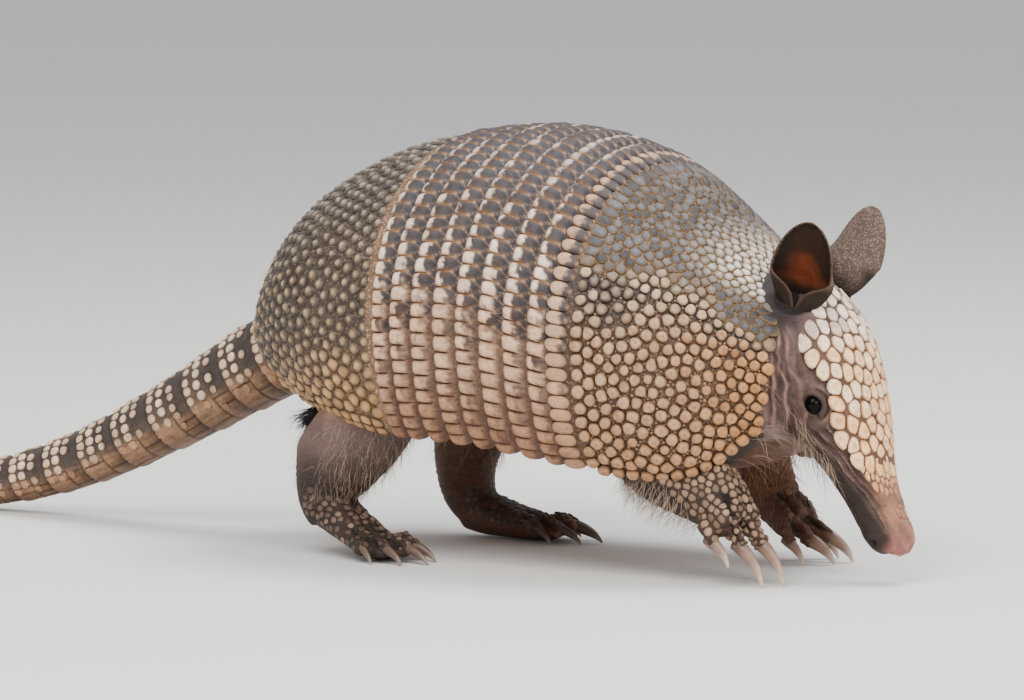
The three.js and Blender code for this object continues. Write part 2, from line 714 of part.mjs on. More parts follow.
function addLeg(group, kind, side, underShell) {
  const place = footPlaces[`${kind}foot_${side}`];
  const path = (kind === "fore" ? forelegs : hindlegs)[side];
  const grownFoot = footSolid(place, gap);
  addMesh(group, `${kind}foot_${side}`, cut(footSolid(place), floorCut), "skin");
  const leg = cut(legSolid(path), trunkSolid(gap), grownFoot, floorCut, underShell);
  addMesh(group, `${kind}leg_${side}`, leg, "skin");
  place.shape.toes.forEach((toe, i) => {
    const claw = cut(clawSolid(place, toe), grownFoot, floorCut);
    addMesh(group, `claw_${kind}_${side}_${i + 1}`, claw, "claw");
  });
}

const armadillo = new THREE.Group();
addArmour(armadillo, carapacePlates());
addMesh(armadillo, "trunk", trunkSolid(), "skin");
// The whole carapace, thicker and a little wider, cuts everything that comes out from under it.
const cutterRows = [-0.05, ...facetRows, lastStation + 0.08];
const underShell = shellPlate(cutterRows, -8, plateThickness + 3 * gap, 1.01);
addHead(armadillo, underShell);
for (const side of Object.keys(sides)) {
  addLeg(armadillo, "fore", side, underShell);
  addLeg(armadillo, "hind", side, underShell);
}
for (const [name, solid] of Object.entries(tailPieces([trunkSolid(gap), underShell]))) {
  addMesh(armadillo, name, solid, "armour");
}

// The origin is the middle of the footprint, on the floor.
const middle = new THREE.Box3().setFromObject(armadillo).getCenter(new THREE.Vector3());
for (const mesh of armadillo.children) mesh.geometry.translate(-middle.x, -middle.y, 0);

export default armadillo;
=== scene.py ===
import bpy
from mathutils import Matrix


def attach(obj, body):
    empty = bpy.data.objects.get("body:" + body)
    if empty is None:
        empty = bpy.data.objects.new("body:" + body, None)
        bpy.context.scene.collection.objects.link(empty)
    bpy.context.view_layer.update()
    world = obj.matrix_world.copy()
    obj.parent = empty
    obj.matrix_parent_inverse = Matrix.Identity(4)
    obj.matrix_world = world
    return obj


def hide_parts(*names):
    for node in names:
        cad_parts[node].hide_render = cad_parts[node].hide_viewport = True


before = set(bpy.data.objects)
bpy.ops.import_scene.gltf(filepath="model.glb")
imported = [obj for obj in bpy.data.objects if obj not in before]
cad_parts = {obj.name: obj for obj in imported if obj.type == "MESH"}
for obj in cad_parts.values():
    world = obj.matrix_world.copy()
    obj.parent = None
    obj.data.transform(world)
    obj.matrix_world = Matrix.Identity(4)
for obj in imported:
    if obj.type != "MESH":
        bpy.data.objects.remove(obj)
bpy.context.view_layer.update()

import math
import bmesh
import bpy
import numpy as np
from mathutils import Vector, kdtree

# Sizes are in millimetres from the middle of the body; each mesh is made in metres in the frame.
build = {"originX": 127.954, "seed": 11}
rng = np.random.default_rng(build["seed"])
sides = {"right": -1, "left": 1}

shell = {
    "bandCount": 8,
    "bandStart": 4.0,  # station where the pelvic shield ends
    "bandEnd": 6.0,
    "widestShare": 0.66,
    "rimCurl": math.radians(72),
}
# topX, topZ, rimX, rimY, rimZ, halfWidth, level, bow from the tail opening to the neck opening
carapace = np.array([
    (-115, 98.5, -78.5, 41, 62, 49, 0.52, 0),
    (-105.5, 122, -62, 52, 59.5, 62.5, 0.55, 0),
    (-84, 148.5, -46, 60.5, 58, 75, 0.57, 0),
    (-51, 168, -29, 66, 55.5, 81, 0.6, 0),
    (-14.5, 176.5, -11, 68, 53.5, 83, 0.61, 0),
    (29.5, 179.5, 30, 68, 51.5, 83, 0.61, 0),
    (73, 169, 75.5, 65, 45.5, 79.5, 0.61, 0),
    (103, 147.5, 112, 56, 42.5, 69.5, 0.61, 2.5),
    (125.5, 130, 129, 47, 48, 54.5, 0.61, 6),
    (139.5, 117.5, 149, 39.5, 65, 41, 0.65, 9),
])

skull = {"back": np.array((143.5, 0, 110.5)), "nose": np.array((187.5, 0, 13.0))}
# at, up, down, halfWidth along the head's own axis
headSections = np.array([
    (-8, 8, 12, 12), (0, 13.5, 21, 20), (14, 17.5, 26, 24), (30, 18.5, 27, 24.5), (46, 16.5, 24.5, 21),
    (60, 14, 18.5, 16.5), (74, 11, 14.5, 12.5), (87, 10, 12, 10), (97, 10, 11, 9.5), (104, 8.5, 8.5, 8.5),
    (107.5, 5.5, 5, 6),
])
# at, arc in degrees: how far round from the forehead the head shield reaches
headShieldEdge = np.array([
    (-4, 46), (5, 62), (14, 67), (23, 68), (32, 60), (40, 53), (49, 63), (60, 71), (69, 58), (77, 24),
])
# x, y, z, radius
tailPath = np.array([
    (-94, 0, 91, 22), (-130, 0, 74, 19), (-180, 0, 48, 15.6), (-230, 0, 26, 13), (-278, -2, 12.6, 10.6),
    (-325, -10, 8.3, 8.5), (-370, -24, 6.4, 6.6), (-412, -43, 4.6, 4.8), (-448, -65, 2.9, 3.1),
])


def unit(v):
    return v / np.maximum(np.linalg.norm(v, axis=-1, keepdims=True), 1e-9)


def ease(low, high, x):
    t = np.clip((np.asarray(x, float) - low) / (high - low), 0, 1)
    return t * t * (3 - 2 * t)


def mix(a, b, t):
    t = np.asarray(t, float)
    return np.asarray(a) + (np.asarray(b) - np.asarray(a)) * t[..., None]


def mixed(a, b, t):
    return a + (b - a) * np.asarray(t, float)


def bell(x, middle, width):
    return np.exp(-(((np.asarray(x, float) - middle) / width) ** 2))


def paint(r, g, b):
    c = np.array((r, g, b), float) / 255
    return np.where(c < 0.04045, c / 12.92, ((c + 0.055) / 1.055) ** 2.4)


def shaded(tone, factor):
    return tone * np.asarray(factor)[..., None]


def gridOf(rows, columns):
    return np.meshgrid(rows, columns, indexing="ij")


def turnsOf(count):
    # angles evenly round a circle
    return np.arange(count) / count * 2 * math.pi


def runAlong(line):
    return np.concatenate([[0], np.cumsum(np.linalg.norm(np.diff(line, axis=0), axis=1))])


def toned(**colours):
    return {name: paint(*rgb) for name, rgb in colours.items()}


def smoothAlong(table, rows):
    rows = np.asarray(rows, float)
    last = len(table) - 1
    i = np.clip(np.floor(rows).astype(int), 0, last - 1)
    t = (rows - i)[..., None]
    a, b, c, d = (table[np.clip(i + k, 0, last)] for k in (-1, 0, 1, 2))
    return b + 0.5 * t * (c - a + t * (2 * a - 5 * b + 4 * c - d + t * (3 * (b - c) + d - a)))


def scatter(ix, iy, iz, seed):
    n = ix * 374761393 + iy * 668265263 + iz * 1274126177 + seed * 974634777
    n = (n ^ (n >> 13)) * 1103515245 & 0x7FFFFFFF
    n = (n ^ (n >> 16)) * 69069 & 0x7FFFFFFF
    return n / 0x7FFFFFFF


def cloud(points, size, seed=0):
    # smooth random values from -1 to 1 in space
    q = points / size
    i = np.floor(q).astype(np.int64)
    f = q - i
    f = f * f * (3 - 2 * f)
    total = 0
    for dx in (0, 1):
        for dy in (0, 1):
            for dz in (0, 1):
                weight = 1
                for axis, step in enumerate((dx, dy, dz)):
                    weight = weight * (f[..., axis] if step else 1 - f[..., axis])
                total = total + weight * scatter(i[..., 0] + dx, i[..., 1] + dy, i[..., 2] + dz, seed)
    return total * 2 - 1


def stripes(x, y, z, seed, size=1.0):
    return cloud(np.stack(np.broadcast_arrays(x, y, z), -1), size, seed)


def shellPoint(rows, shares):
    rows, shares = np.broadcast_arrays(np.asarray(rows, float), np.asarray(shares, float))
    topX, topZ, rimX, rimY, rimZ, halfWidth, level, bow = np.moveaxis(smoothAlong(carapace, rows), -1, 0)
    reach = np.abs(shares)
    widest, curl = shell["widestShare"], shell["rimCurl"]
    over = reach / widest * math.pi / 2
    under = (reach - widest) / (1 - widest) * curl
    above = reach <= widest
    fall = np.where(above, level * (1 - np.cos(over)), level + (1 - level) * np.sin(under) / math.sin(curl))
    inwards = (1 - np.cos(under)) / (1 - math.cos(curl))
    out = np.where(above, halfWidth * np.sin(over), halfWidth - (halfWidth - rimY) * inwards)
    x = topX + (rimX - topX) * fall + bow * np.sin(math.pi * fall)
    return np.stack([x, np.sign(shares) * out, topZ + (rimZ - topZ) * fall], -1)


def shellFrame(rows, shares):
    step = 0.01
    ahead = shellPoint(rows + step, shares) - shellPoint(rows - step, shares)
    around = shellPoint(rows, shares + step) - shellPoint(rows, shares - step)
    return shellPoint(rows, shares), unit(np.cross(ahead, around)), unit(ahead)


def shellHeight(rows, shares):
    # 0 at the rim, 1 along the spine
    top = shellPoint(rows, np.zeros_like(shares))[..., 2]
    rim = shellPoint(rows, np.ones_like(shares))[..., 2]
    return (shellPoint(rows, shares)[..., 2] - rim) / (top - rim)


headAxis = unit(skull["nose"] - skull["back"])
headUp = np.array((-headAxis[2], 0, headAxis[0]))
headLeft = np.array((0.0, 1.0, 0.0))


def headRows(at):
    places = headSections[:, 0]
    i = np.clip(np.searchsorted(places, at, side="right") - 1, 0, len(places) - 2)
    return i + np.clip((at - places[i]) / (places[i + 1] - places[i]), 0, 1)


def headPoint(at, turn, grow=0.0):
    at, turn = np.broadcast_arrays(np.asarray(at, float), np.asarray(turn, float))
    _, up, down, halfWidth = np.moveaxis(smoothAlong(headSections, headRows(at)), -1, 0)
    height = np.where(np.cos(turn) >= 0, up, down) + grow
    return (
        skull["back"]
        + at[..., None] * headAxis
        + (height * np.cos(turn))[..., None] * headUp
        + ((halfWidth + grow) * np.sin(turn))[..., None] * headLeft
    )


def headFrame(at, turn):
    step = 0.4
    ahead = headPoint(at + step, turn) - headPoint(at - step, turn)
    around = headPoint(at, turn + 0.02) - headPoint(at, turn - 0.02)
    return headPoint(at, turn), unit(np.cross(ahead, around)), unit(ahead)


def tubeFrames(path, rows):
    # middle, heading, sideways and upright along a path whose first three columns are a place
    rows = np.asarray(rows, float)
    middle = smoothAlong(path, rows)
    heading = unit(smoothAlong(path, rows + 0.05)[..., :3] - smoothAlong(path, rows - 0.05)[..., :3])
    sideways = unit(np.array((0, 1.0, 0)) - heading * heading[..., 1:2])
    return middle, heading, sideways, np.cross(heading, sideways)


def gridFaces(rows, columns, start=0, closed=False):
    r, c = gridOf(np.arange(rows - 1), np.arange(columns if closed else columns - 1))
    a = start + r * columns + c
    b = start + r * columns + (c + 1) % columns
    return np.stack([a, b, b + columns, a + columns], -1).reshape(-1, 4).tolist()


def closedPlate(outer, inner, tones, underTones):
    # outer and inner grids of points, joined round their four edges
    rows, columns = outer.shape[:2]
    under = rows * columns
    faces = gridFaces(rows, columns) + [f[::-1] for f in gridFaces(rows, columns, under)]
    edge = [r * columns for r in range(rows)]
    edge += [(rows - 1) * columns + c for c in range(1, columns)]
    edge += [r * columns + columns - 1 for r in range(rows - 2, -1, -1)]
    edge += list(range(columns - 2, 0, -1))
    for here, following in zip(edge, edge[1:] + edge[:1]):
        faces.append([here, under + here, under + following, following])
    points = np.concatenate([outer.reshape(-1, 3), inner.reshape(-1, 3)])
    tones = np.concatenate([tones.reshape(-1, 3), underTones.reshape(-1, 3)])
    return points, faces, tones


def closedTube(rings, tones=None):
    # rings of points joined in order, with a fan at each end
    count, size = rings.shape[:2]
    faces = gridFaces(count, size, closed=True)
    for i in range(size):
        j = (i + 1) % size
        faces.append([count * size, j, i])
        faces.append([count * size + 1, (count - 1) * size + i, (count - 1) * size + j])
    points, tones = (
        np.concatenate([grid.reshape(-1, 3), grid[0].mean(0)[None], grid[-1].mean(0)[None]])
        for grid in (rings, np.zeros_like(rings) if tones is None else tones)
    )
    return points, faces, tones


def joined(parts):
    points, faces, tones = [], [], []
    start = 0
    for part in parts:
        points.append(part[0])
        faces += [[start + i for i in face] for face in part[1]] if start else list(part[1])
        tones.append(part[2])
        start += len(part[0])
    return np.concatenate(points), faces, np.concatenate(tones)


def makeMesh(name, points, faces):
    mesh = bpy.data.meshes.new(name)
    places = (np.asarray(points, float) + np.array((build["originX"], 0, 0))) / 1000
    places[:, 2] = np.maximum(places[:, 2], 0)
    mesh.from_pydata(places.tolist(), [], faces)
    shape = bmesh.new()
    shape.from_mesh(mesh)
    bmesh.ops.recalc_face_normals(shape, faces=shape.faces)
    shape.to_mesh(mesh)
    shape.free()
    mesh.shade_smooth()
    piece = bpy.data.objects.new(name, mesh)
    bpy.context.collection.objects.link(piece)
    return piece


def colour(piece, tones, grains):
    # the alpha says how far the surface breaks up into fine granules
    layer = piece.data.color_attributes.new(name="tone", type="FLOAT_COLOR", domain="POINT")
    rgba = np.empty((len(tones), 4), np.float32)
    rgba[:, :3] = np.clip(tones, 0, 1)
    rgba[:, 3] = grains
    layer.data.foreach_set("color", rgba.ravel())


def finish(piece, material, slotName, *nodes):
    piece.data.materials.append(material)
    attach(piece, "root")
    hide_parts(*nodes)


def setPiece(name, parts, grains, material, slotName, *nodes):
    # one piece from parts of (points, faces, tones)
    points, faces, tones = joined(parts)
    piece = makeMesh(name, points, faces)
    colour(piece, tones, grains)
    finish(piece, material, slotName, *nodes)
    return piece


def pointsOf(piece):
    flat = np.empty(len(piece.data.vertices) * 3, np.float32)
    piece.data.vertices.foreach_get("co", flat)
    return flat.reshape(-1, 3).astype(float) * 1000 - np.array((build["originX"], 0, 0))


def normalsOf(piece):
    flat = np.empty(len(piece.data.vertices) * 3, np.float32)
    piece.data.vertices.foreach_get("normal", flat)
    return flat.reshape(-1, 3).astype(float)


def moveTo(piece, points):
    flat = (points + np.array((build["originX"], 0, 0))) / 1000
    piece.data.vertices.foreach_set("co", flat.astype(np.float32).ravel())
    piece.data.update()


def packed(points, pitch, first=()):
    # keeps points in order, each at least its pitch away from those kept before it
    free = np.ones(len(points), bool)
    for seed in first:
        free &= ((points - seed) ** 2).sum(1) > pitch**2
    kept = []
    i = 0
    while True:
        rest = np.flatnonzero(free[i:])
        if not len(rest):
            return np.array(kept, int)
        i += rest[0]
        kept.append(i)
        near = ((points[i:] - points[i]) ** 2).sum(1) <= pitch[i:] ** 2
        free[i:] &= ~near
        free[i] = False


def treeOf(spots):
    tree = kdtree.KDTree(len(spots))
    for i, spot in enumerate(spots):
        tree.insert(spot, i)
    tree.balance()
    return tree


def neighbourPlaces(seeds, count):
    tree = treeOf(seeds)
    count = min(count, len(seeds) - 1)
    return np.array([[hit[1] for hit in tree.find_n(seed, count + 1)[1:]] for seed in seeds])


def scaleOutlines(seeds, side, along, look):
    # each scale fills its own cell between its neighbours, less the groove, with rounded corners
    near = neighbourPlaces(seeds, look.get("neighbours", 9))
    gaps = seeds[near] - seeds[:, None]
    stretch = np.broadcast_to(look.get("stretch", 1.0), len(seeds)).astype(float)
    x = np.einsum("nkj,nj->nk", gaps, side)
    y = np.einsum("nkj,nj->nk", gaps, along) / stretch[:, None]
    reach = np.maximum(np.hypot(x, y), 1e-6)
    angles = (np.arange(look["sides"]) + 0.5) / look["sides"] * 2 * math.pi
    ex, ey = np.cos(angles), np.sin(angles)
    facing = (x[..., None] * ex + y[..., None] * ey) / reach[..., None]
    groove = np.broadcast_to(look["groove"], len(seeds)).astype(float)
    limit = (reach - groove[:, None])[..., None] / 2 / np.maximum(facing, 0.08)
    limit = np.where(facing > 0.08, np.maximum(limit, 0.2), 1e3)
    cap = np.broadcast_to(look["cap"], len(seeds)).astype(float)
    limit = np.concatenate([limit, np.broadcast_to(cap[:, None, None], (len(seeds), 1, look["sides"]))], 1)
    power = look.get("corners", 7)
    radius = (limit**-power).sum(1) ** (-1 / power)
    lead = radius * ey * stretch[:, None]
    return side[:, None] * (radius * ex)[..., None] + along[:, None] * lead[..., None], lead


def scaleDomes(seeds, outwards, ahead, look, rings, tones):
    # rings: (share, height) from the sunk edge to the crown; tones: one colour per ring
    slim = look.get("slim", (1.0,) * len(rings))
    side = unit(np.cross(ahead, outwards))
    along = unit(np.cross(outwards, side))
    flat, lead = scaleOutlines(seeds, side, along, look)
    count, around = flat.shape[:2]
    tilt = look.get("tilt", 0.0)
    layers = []
    colours = []
    for (share, height), tone, thin in zip(rings, tones, slim):
        share = np.broadcast_to(share, count)[:, None]
        height = np.broadcast_to(height, count)[:, None] - tilt * lead * share
        layer = seeds[:, None] + flat * share[..., None] + outwards[:, None] * height[..., None]
        layer = layer - along[:, None] * (lead * share * (1 - thin))[..., None]
        if np.all(share == 0):
            layer = layer[:, :1]
        layers.append(layer)
        colours.append(np.broadcast_to(np.asarray(tone)[..., None, :], layer.shape))
    points = np.concatenate(layers, 1)
    per = points.shape[1]
    template = [list(range(around))[::-1]]
    for k in range(len(rings) - 2):
        for i in range(around):
            j = (i + 1) % around
            template.append([k * around + i, k * around + j, (k + 1) * around + j, (k + 1) * around + i])
    crown = (len(rings) - 1) * around
    template += [[crown - around + i, crown - around + (i + 1) % around, crown] for i in range(around)]
    faces = [[n * per + i for i in face] for n in range(count) for face in template]
    return points.reshape(-1, 3), faces, np.concatenate(colours, 1).reshape(-1, 3)


def lumpy(domes, outwards, rise, sway, seed):
    # takes the evenness off a set of scales and stains them a little
    points, faces, tones = domes
    up = np.repeat(outwards, len(points) // len(outwards), axis=0)
    points = points + up * (rise * cloud(points, 1.6, seed))[:, None]
    drift = np.stack([cloud(points, 2.6, seed + k) for k in (1, 2, 3)], -1)
    stain = ease(0.1, 0.9, cloud(points, 1.5, seed + 4))[:, None]
    return points + sway * drift, faces, tones * (1 - stain * np.array((0.16, 0.24, 0.32)))


def newMaterial(name, roughness, specular=0.5):
    material = bpy.data.materials.new(name)
    material.use_nodes = True
    shader = material.node_tree.nodes["Principled BSDF"]
    shader.inputs["Roughness"].default_value = roughness
    shader.inputs["Specular IOR Level"].default_value = specular
    return material, material.node_tree, shader


def addNode(tree, kind, links=(), **values):
    node = tree.nodes.new(kind)
    for key, value in values.items():
        if key in node.inputs:
            node.inputs[key].default_value = value
        else:
            setattr(node, key, value)
    for socket, source in links:
        tree.links.new(source, node.inputs[socket])
    return node


def noiseOn(tree, place, size, detail=4.0, roughness=0.55):
    # size is the width of one blotch in millimetres
    values = {"Scale": 1000 / size, "Detail": detail, "Roughness": roughness}
    return addNode(tree, "ShaderNodeTexNoise", [("Vector", place)], **values).outputs["Fac"]


def ramp(tree, source, stops):
    node = addNode(tree, "ShaderNodeValToRGB", [("Fac", source)])
    while len(node.color_ramp.elements) < len(stops):
        node.color_ramp.elements.new(0.5)
    for element, (position, value) in zip(node.color_ramp.elements, stops):
        element.position = position
        element.color = (*value, 1) if hasattr(value, "__len__") else (value, value, value, 1)
    return node.outputs["Color"]


def multiplied(tree, first, second, factor=None):
    colours = [(6, first), (7, second)]
    node = addNode(tree, "ShaderNodeMix", colours, data_type="RGBA", blend_type="MULTIPLY")
    if factor:
        tree.links.new(factor, node.inputs["Factor"])
    else:
        node.inputs["Factor"].default_value = 1.0
    return node.outputs[2]


def bumped(tree, shader, layers):
    # layers of (height output, depth in millimetres), laid one over the other
    normal = None
    for height, depth in layers:
        bump = addNode(tree, "ShaderNodeBump", [("Height", height)], Strength=1.0, Distance=depth / 1000)
        if normal:
            tree.links.new(normal, bump.inputs["Normal"])
        normal = bump.outputs["Normal"]
    tree.links.new(normal, shader.inputs["Normal"])


def granulated(tree, place, size):
    # light granules on a dark skin wherever the attribute's alpha asks for them
    attribute = addNode(tree, "ShaderNodeAttribute", attribute_name="tone")
    cells = addNode(tree, "ShaderNodeTexVoronoi", [("Vector", place)], Scale=1000 / size)
    stops = [(0.12, (2.1, 1.95, 1.75)), (0.3, (1.15, 1.1, 1.05)), (0.55, (0.55, 0.52, 0.5))]
    shade = ramp(tree, cells.outputs["Distance"], stops)
    return multiplied(tree, attribute.outputs["Color"], shade, attribute.outputs["Alpha"])


def cracksOn(tree, place, size):
    values = {"feature": "DISTANCE_TO_EDGE", "Scale": 1000 / size}
    return addNode(tree, "ShaderNodeTexVoronoi", [("Vector", place)], **values).outputs["Distance"]


def hornMaterial(name, look):
    material, tree, shader = newMaterial(name, look["roughness"], look["specular"])
    place = addNode(tree, "ShaderNodeTexCoord").outputs["Object"]
    blotch = noiseOn(tree, place, look["blotch"], 5)
    fleck = noiseOn(tree, place, look["fleck"], 6, 0.7)
    cracks = cracksOn(tree, place, look.get("crack", 2.0))
    tone = granulated(tree, place, look.get("granule", 1.35))
    for layer in (
        ramp(tree, blotch, [(0.3, look["stain"]), (0.5, 1.0), (0.7, look["light"])]),
        ramp(tree, fleck, [(0.3, look["speck"]), (0.47, 1.0), (0.7, 1.14)]),
        ramp(tree, cracks, [(0.0, look.get("line", 1.0)), (0.09, 1.0)]),
    ):
        tone = multiplied(tree, tone, layer)
    tree.links.new(tone, shader.inputs["Base Color"])
    span = {"To Min": look["roughness"] - 0.1, "To Max": look["roughness"] + 0.16}
    gloss = addNode(tree, "ShaderNodeMapRange", [("Value", fleck)], **span)
    tree.links.new(gloss.outputs["Result"], shader.inputs["Roughness"])
    pits = addNode(tree, "ShaderNodeTexVoronoi", [("Vector", place)], Scale=1000 / look["pit"])
    bumped(tree, shader, [(pits.outputs["Distance"], look["pitDepth"]), (fleck, look["grain"])])
    return material


plateHorn = hornMaterial("plateHorn", {
    "roughness": 0.46, "specular": 0.32, "blotch": 4.2, "fleck": 1.0, "light": (1.12, 1.1, 1.08),
    "stain": (0.8, 0.68, 0.57), "speck": (0.62, 0.54, 0.46), "line": (0.84, 0.76, 0.69), "crack": 1.4,
    "pit": 0.7, "pitDepth": 0.07, "grain": 0.26,
})


def standCamera():
    view = {"azimuth": 35.0, "elevation": 5.0, "distance": 2800, "width": 430, "target": (-1.4, 0, 85)}
    a, e = math.radians(view["azimuth"]), math.radians(view["elevation"])
    back = Vector((math.sin(a) * math.cos(e), -math.cos(a) * math.cos(e), math.sin(e)))
    target = Vector(view["target"]) + Vector((build["originX"], 0, 0))
    lens = bpy.data.cameras.new("sideCamera")
    lens.sensor_width = 36
    lens.lens = 36 * view["distance"] / view["width"]
    lens.clip_end = 20
    camera = bpy.data.objects.new("sideCamera", lens)
    camera.location = (target + back * view["distance"]) / 1000
    camera.rotation_euler = back.to_track_quat("Z", "Y").to_euler()
    bpy.context.collection.objects.link(camera)
    bpy.context.scene.camera = camera
    print("camera stands")


studio = {
    "floor": 30, "floorTop": -0.0004, "paper": (0.8, 0.79, 0.77, 1),
    "air": (0.95, 0.97, 1.0, 1), "airStrength": 0.72, "aim": (0.1, 0, 0.1),
    # place, size, power, tint
    "keyLight": ((0.35, -1.5, 1.7), 1.3, 40, (1.0, 0.965, 0.91)),
    "topLight": ((0.5, 0.5, 1.8), 1.0, 34, (0.97, 0.98, 1.0)),
    "sideLight": ((1.7, -0.9, 0.9), 1.0, 24, (1.0, 0.95, 0.88)),
}


def softLight(name):
    place, size, power, tint = studio[name]
    lamp = bpy.data.lights.new(name, "AREA")
    lamp.shape = "SQUARE"
    lamp.size = size
    lamp.energy = power
    lamp.color = tint
    light = bpy.data.objects.new(name, lamp)
    light.location = place
    light.rotation_euler = (Vector(place) - Vector(studio["aim"])).to_track_quat("Z", "Y").to_euler()
    bpy.context.collection.objects.link(light)


def layStudio():
    bpy.ops.object.select_all(action="DESELECT")
    bpy.ops.mesh.primitive_plane_add(size=studio["floor"], location=(0, 0, studio["floorTop"]))
    floor = bpy.context.object
    floor.name = "studioFloor"
    bpy.ops.object.transform_apply(location=True, rotation=True, scale=True)
    material, _, shader = newMaterial("palePaper", 0.85, 0.2)
    shader.inputs["Base Color"].default_value = studio["paper"]
    floor.data.materials.append(material)
    world = bpy.data.worlds.new("studioAir")
    world.use_nodes = True
    air = world.node_tree.nodes["Background"]
    air.inputs["Color"].default_value = studio["air"]
    air.inputs["Strength"].default_value = studio["airStrength"]
    bpy.context.scene.world = world
    for name in ("keyLight", "topLight", "sideLight"):
        softLight(name)
    print("studio laid")


standCamera()
layStudio()

# Pelvic shield: small raised ovals on dark cells, growing to full tan pebbles towards the rim.
pelvic = {
    "rows": (0.02, 3.985),  # in stations
    "scaleRows": (0.1, 3.79),
    "base": (-1.05, -4.1),
    "pitch": 6.0,
    "rimPitch": 6.6,
    "groove": 0.4,
    "slim": (1.0, 1.0, 1.0, 0.92, 0.88, 0.86, 0.86),
    **toned(
        ground=(92, 82, 72), groundLow=(112, 88, 62), strip=(150, 122, 98), cell=(76, 69, 64),
        cellLow=(98, 76, 54), dot=(172, 150, 116), dotLow=(196, 154, 104), dotBack=(134, 130, 130),
    ),
}


def plateGrid(row, share, depthOuter, depthInner):
    point, outwards, _ = shellFrame(row, share)
    return point + outwards * depthOuter[..., None], point + outwards * depthInner


def rimLine(rows, share, pitch):
    # places at an even pitch along a line of constant share
    fine = np.linspace(rows[0], rows[1], 400)
    line = shellPoint(fine, np.full_like(fine, share))
    run = runAlong(line)
    count = max(int(round(run[-1] / pitch)), 2)
    return np.interp((np.arange(count) + 0.5) / count * run[-1], run, fine)


packing = {"rowStep": 0.017, "columns": 330, "rowJitter": 0.006, "shareJitter": 0.001}


def shieldSeeds(rimPitch, rows, shareEdge, pitchAt, rimShares=(0.985, 0.945), towards=1):
    # two even rows along each rim, then places packed from one end to the other
    rowStart, shareStart = [], []
    for share in rimShares:
        for side in (-1, 1):
            line = rimLine(rows, share, rimPitch)
            rowStart += list(line)
            shareStart += [side * share] * len(line)
    rowStart, shareStart = np.array(rowStart), np.array(shareStart)
    start = shellPoint(rowStart, shareStart)
    lines = np.arange(rows[0], rows[1], packing["rowStep"])[::towards]
    row, share = gridOf(lines, np.linspace(-shareEdge, shareEdge, packing["columns"]))
    row = row.ravel() + rng.uniform(-packing["rowJitter"], packing["rowJitter"], row.size)
    share = share.ravel() + rng.uniform(-packing["shareJitter"], packing["shareJitter"], share.size)
    spots = shellPoint(row, share)
    kept = packed(spots, pitchAt(spots, row, share), start)
    return np.concatenate([rowStart, row[kept]]), np.concatenate([shareStart, share[kept]]), len(start)


def pelvicPitch(spots, row, share):
    return pelvic["pitch"] * (1 + 0.08 * cloud(spots, 14, 3)) * rng.uniform(0.96, 1.05, len(spots))


def buildPelvicShield():
    row, share = gridOf(np.linspace(*pelvic["rows"], 66), np.linspace(-1, 1, 150))
    edge = np.maximum(ease(0.995, 1.0, np.abs(share)), ease(0.1, 0.0, row))
    depth = pelvic["base"][0] - 0.5 * edge + 0.45 * ease(3.76, 3.88, row)
    outer, inner = plateGrid(row, share, depth, pelvic["base"][1])
    low = ease(0.5, 0.12, shellHeight(row, share))
    ground = mix(pelvic["ground"], pelvic["groundLow"], low)
    ground = mix(ground, pelvic["strip"], 0.9 * ease(3.76, 3.84, row + 0.03 * cloud(outer, 3, 4)))
    ground = shaded(ground, 1 + 0.25 * cloud(outer, 3, 5))
    # the inner face takes the ground tone darkened, as painted shade under the plate
    parts = [closedPlate(outer, inner, ground, ground * 0.6)]
    grains = [np.full(len(parts[0][0]), 0.9)]

    row, share, rim = shieldSeeds(pelvic["rimPitch"], pelvic["scaleRows"], 0.93, pelvicPitch, towards=-1)
    seeds, outwards, ahead = shellFrame(row, share)
    height = shellHeight(row, share)
    rear = ease(0.34, 0.16, row)
    lone = rng.uniform(0, 1, (3, len(seeds)))
    low = ease(0.42, 0.1, height + 0.05 * cloud(seeds, 12, 7) + 0.06 * (lone[2] - 0.5))
    low = np.maximum(low, rear)
    low[:rim] = 1
    back = ease(0.55, 0.95, height)
    look = {
        "sides": 12, "groove": pelvic["groove"], "cap": 3.4, "stretch": 1 + 0.12 * low, "tilt": 0.05,
        "corners": 8, "slim": pelvic["slim"],
    }
    cell = shaded(mix(pelvic["cell"], pelvic["cellLow"], low), 0.8 + 0.4 * lone[0])
    dot = mix(mix(pelvic["dot"], pelvic["dotLow"], low), pelvic["dotBack"], back * 0.7)
    dot = shaded(dot, 0.7 + 0.42 * lone[1])
    full = 0.61 + 0.28 * low + 0.16 * (lone[0] - 0.5)
    rise = 0.8 + 0.5 * lone[2]
    rings = [
        (1.0, -1.5), (1.0, -0.85), (0.94, -0.66), (full + 0.06, -0.58 + 0.12 * low),
        (full * 0.8, -0.16 * rise), (full * 0.44, 0.26 * rise), (0.0, 0.36 * rise),
    ]
    skirt = mix(cell, dot, 0.12 + 0.3 * low)
    flank = mix(cell, dot, 0.38 + 0.34 * low)
    # the rings are darkened towards the sunk edge as painted shade in the grooves, and the crown is
    # lightened as a painted highlight
    tones = [cell * 0.5, cell * 0.8, cell * 1.15, skirt * 0.8, flank, dot * 0.95, dot * 1.12]
    parts.append(lumpy(scaleDomes(seeds, outwards, ahead, look, rings, tones), outwards, 0.1, 0.2, 191))
    perRing = np.array([0.6, 0.9, 0.9, 0.6, 0.1, 0.0, 0.0])
    per = np.concatenate([np.repeat(perRing[:-1], look["sides"]), perRing[-1:]])
    grains.append((per[None] * (1 - 0.6 * low[:, None])).ravel())
    setPiece("pelvicShield", parts, np.concatenate(grains), plateHorn, "armour", "pelvic_shield")
    print("pelvic shield:", len(seeds), "scales")


buildPelvicShield()

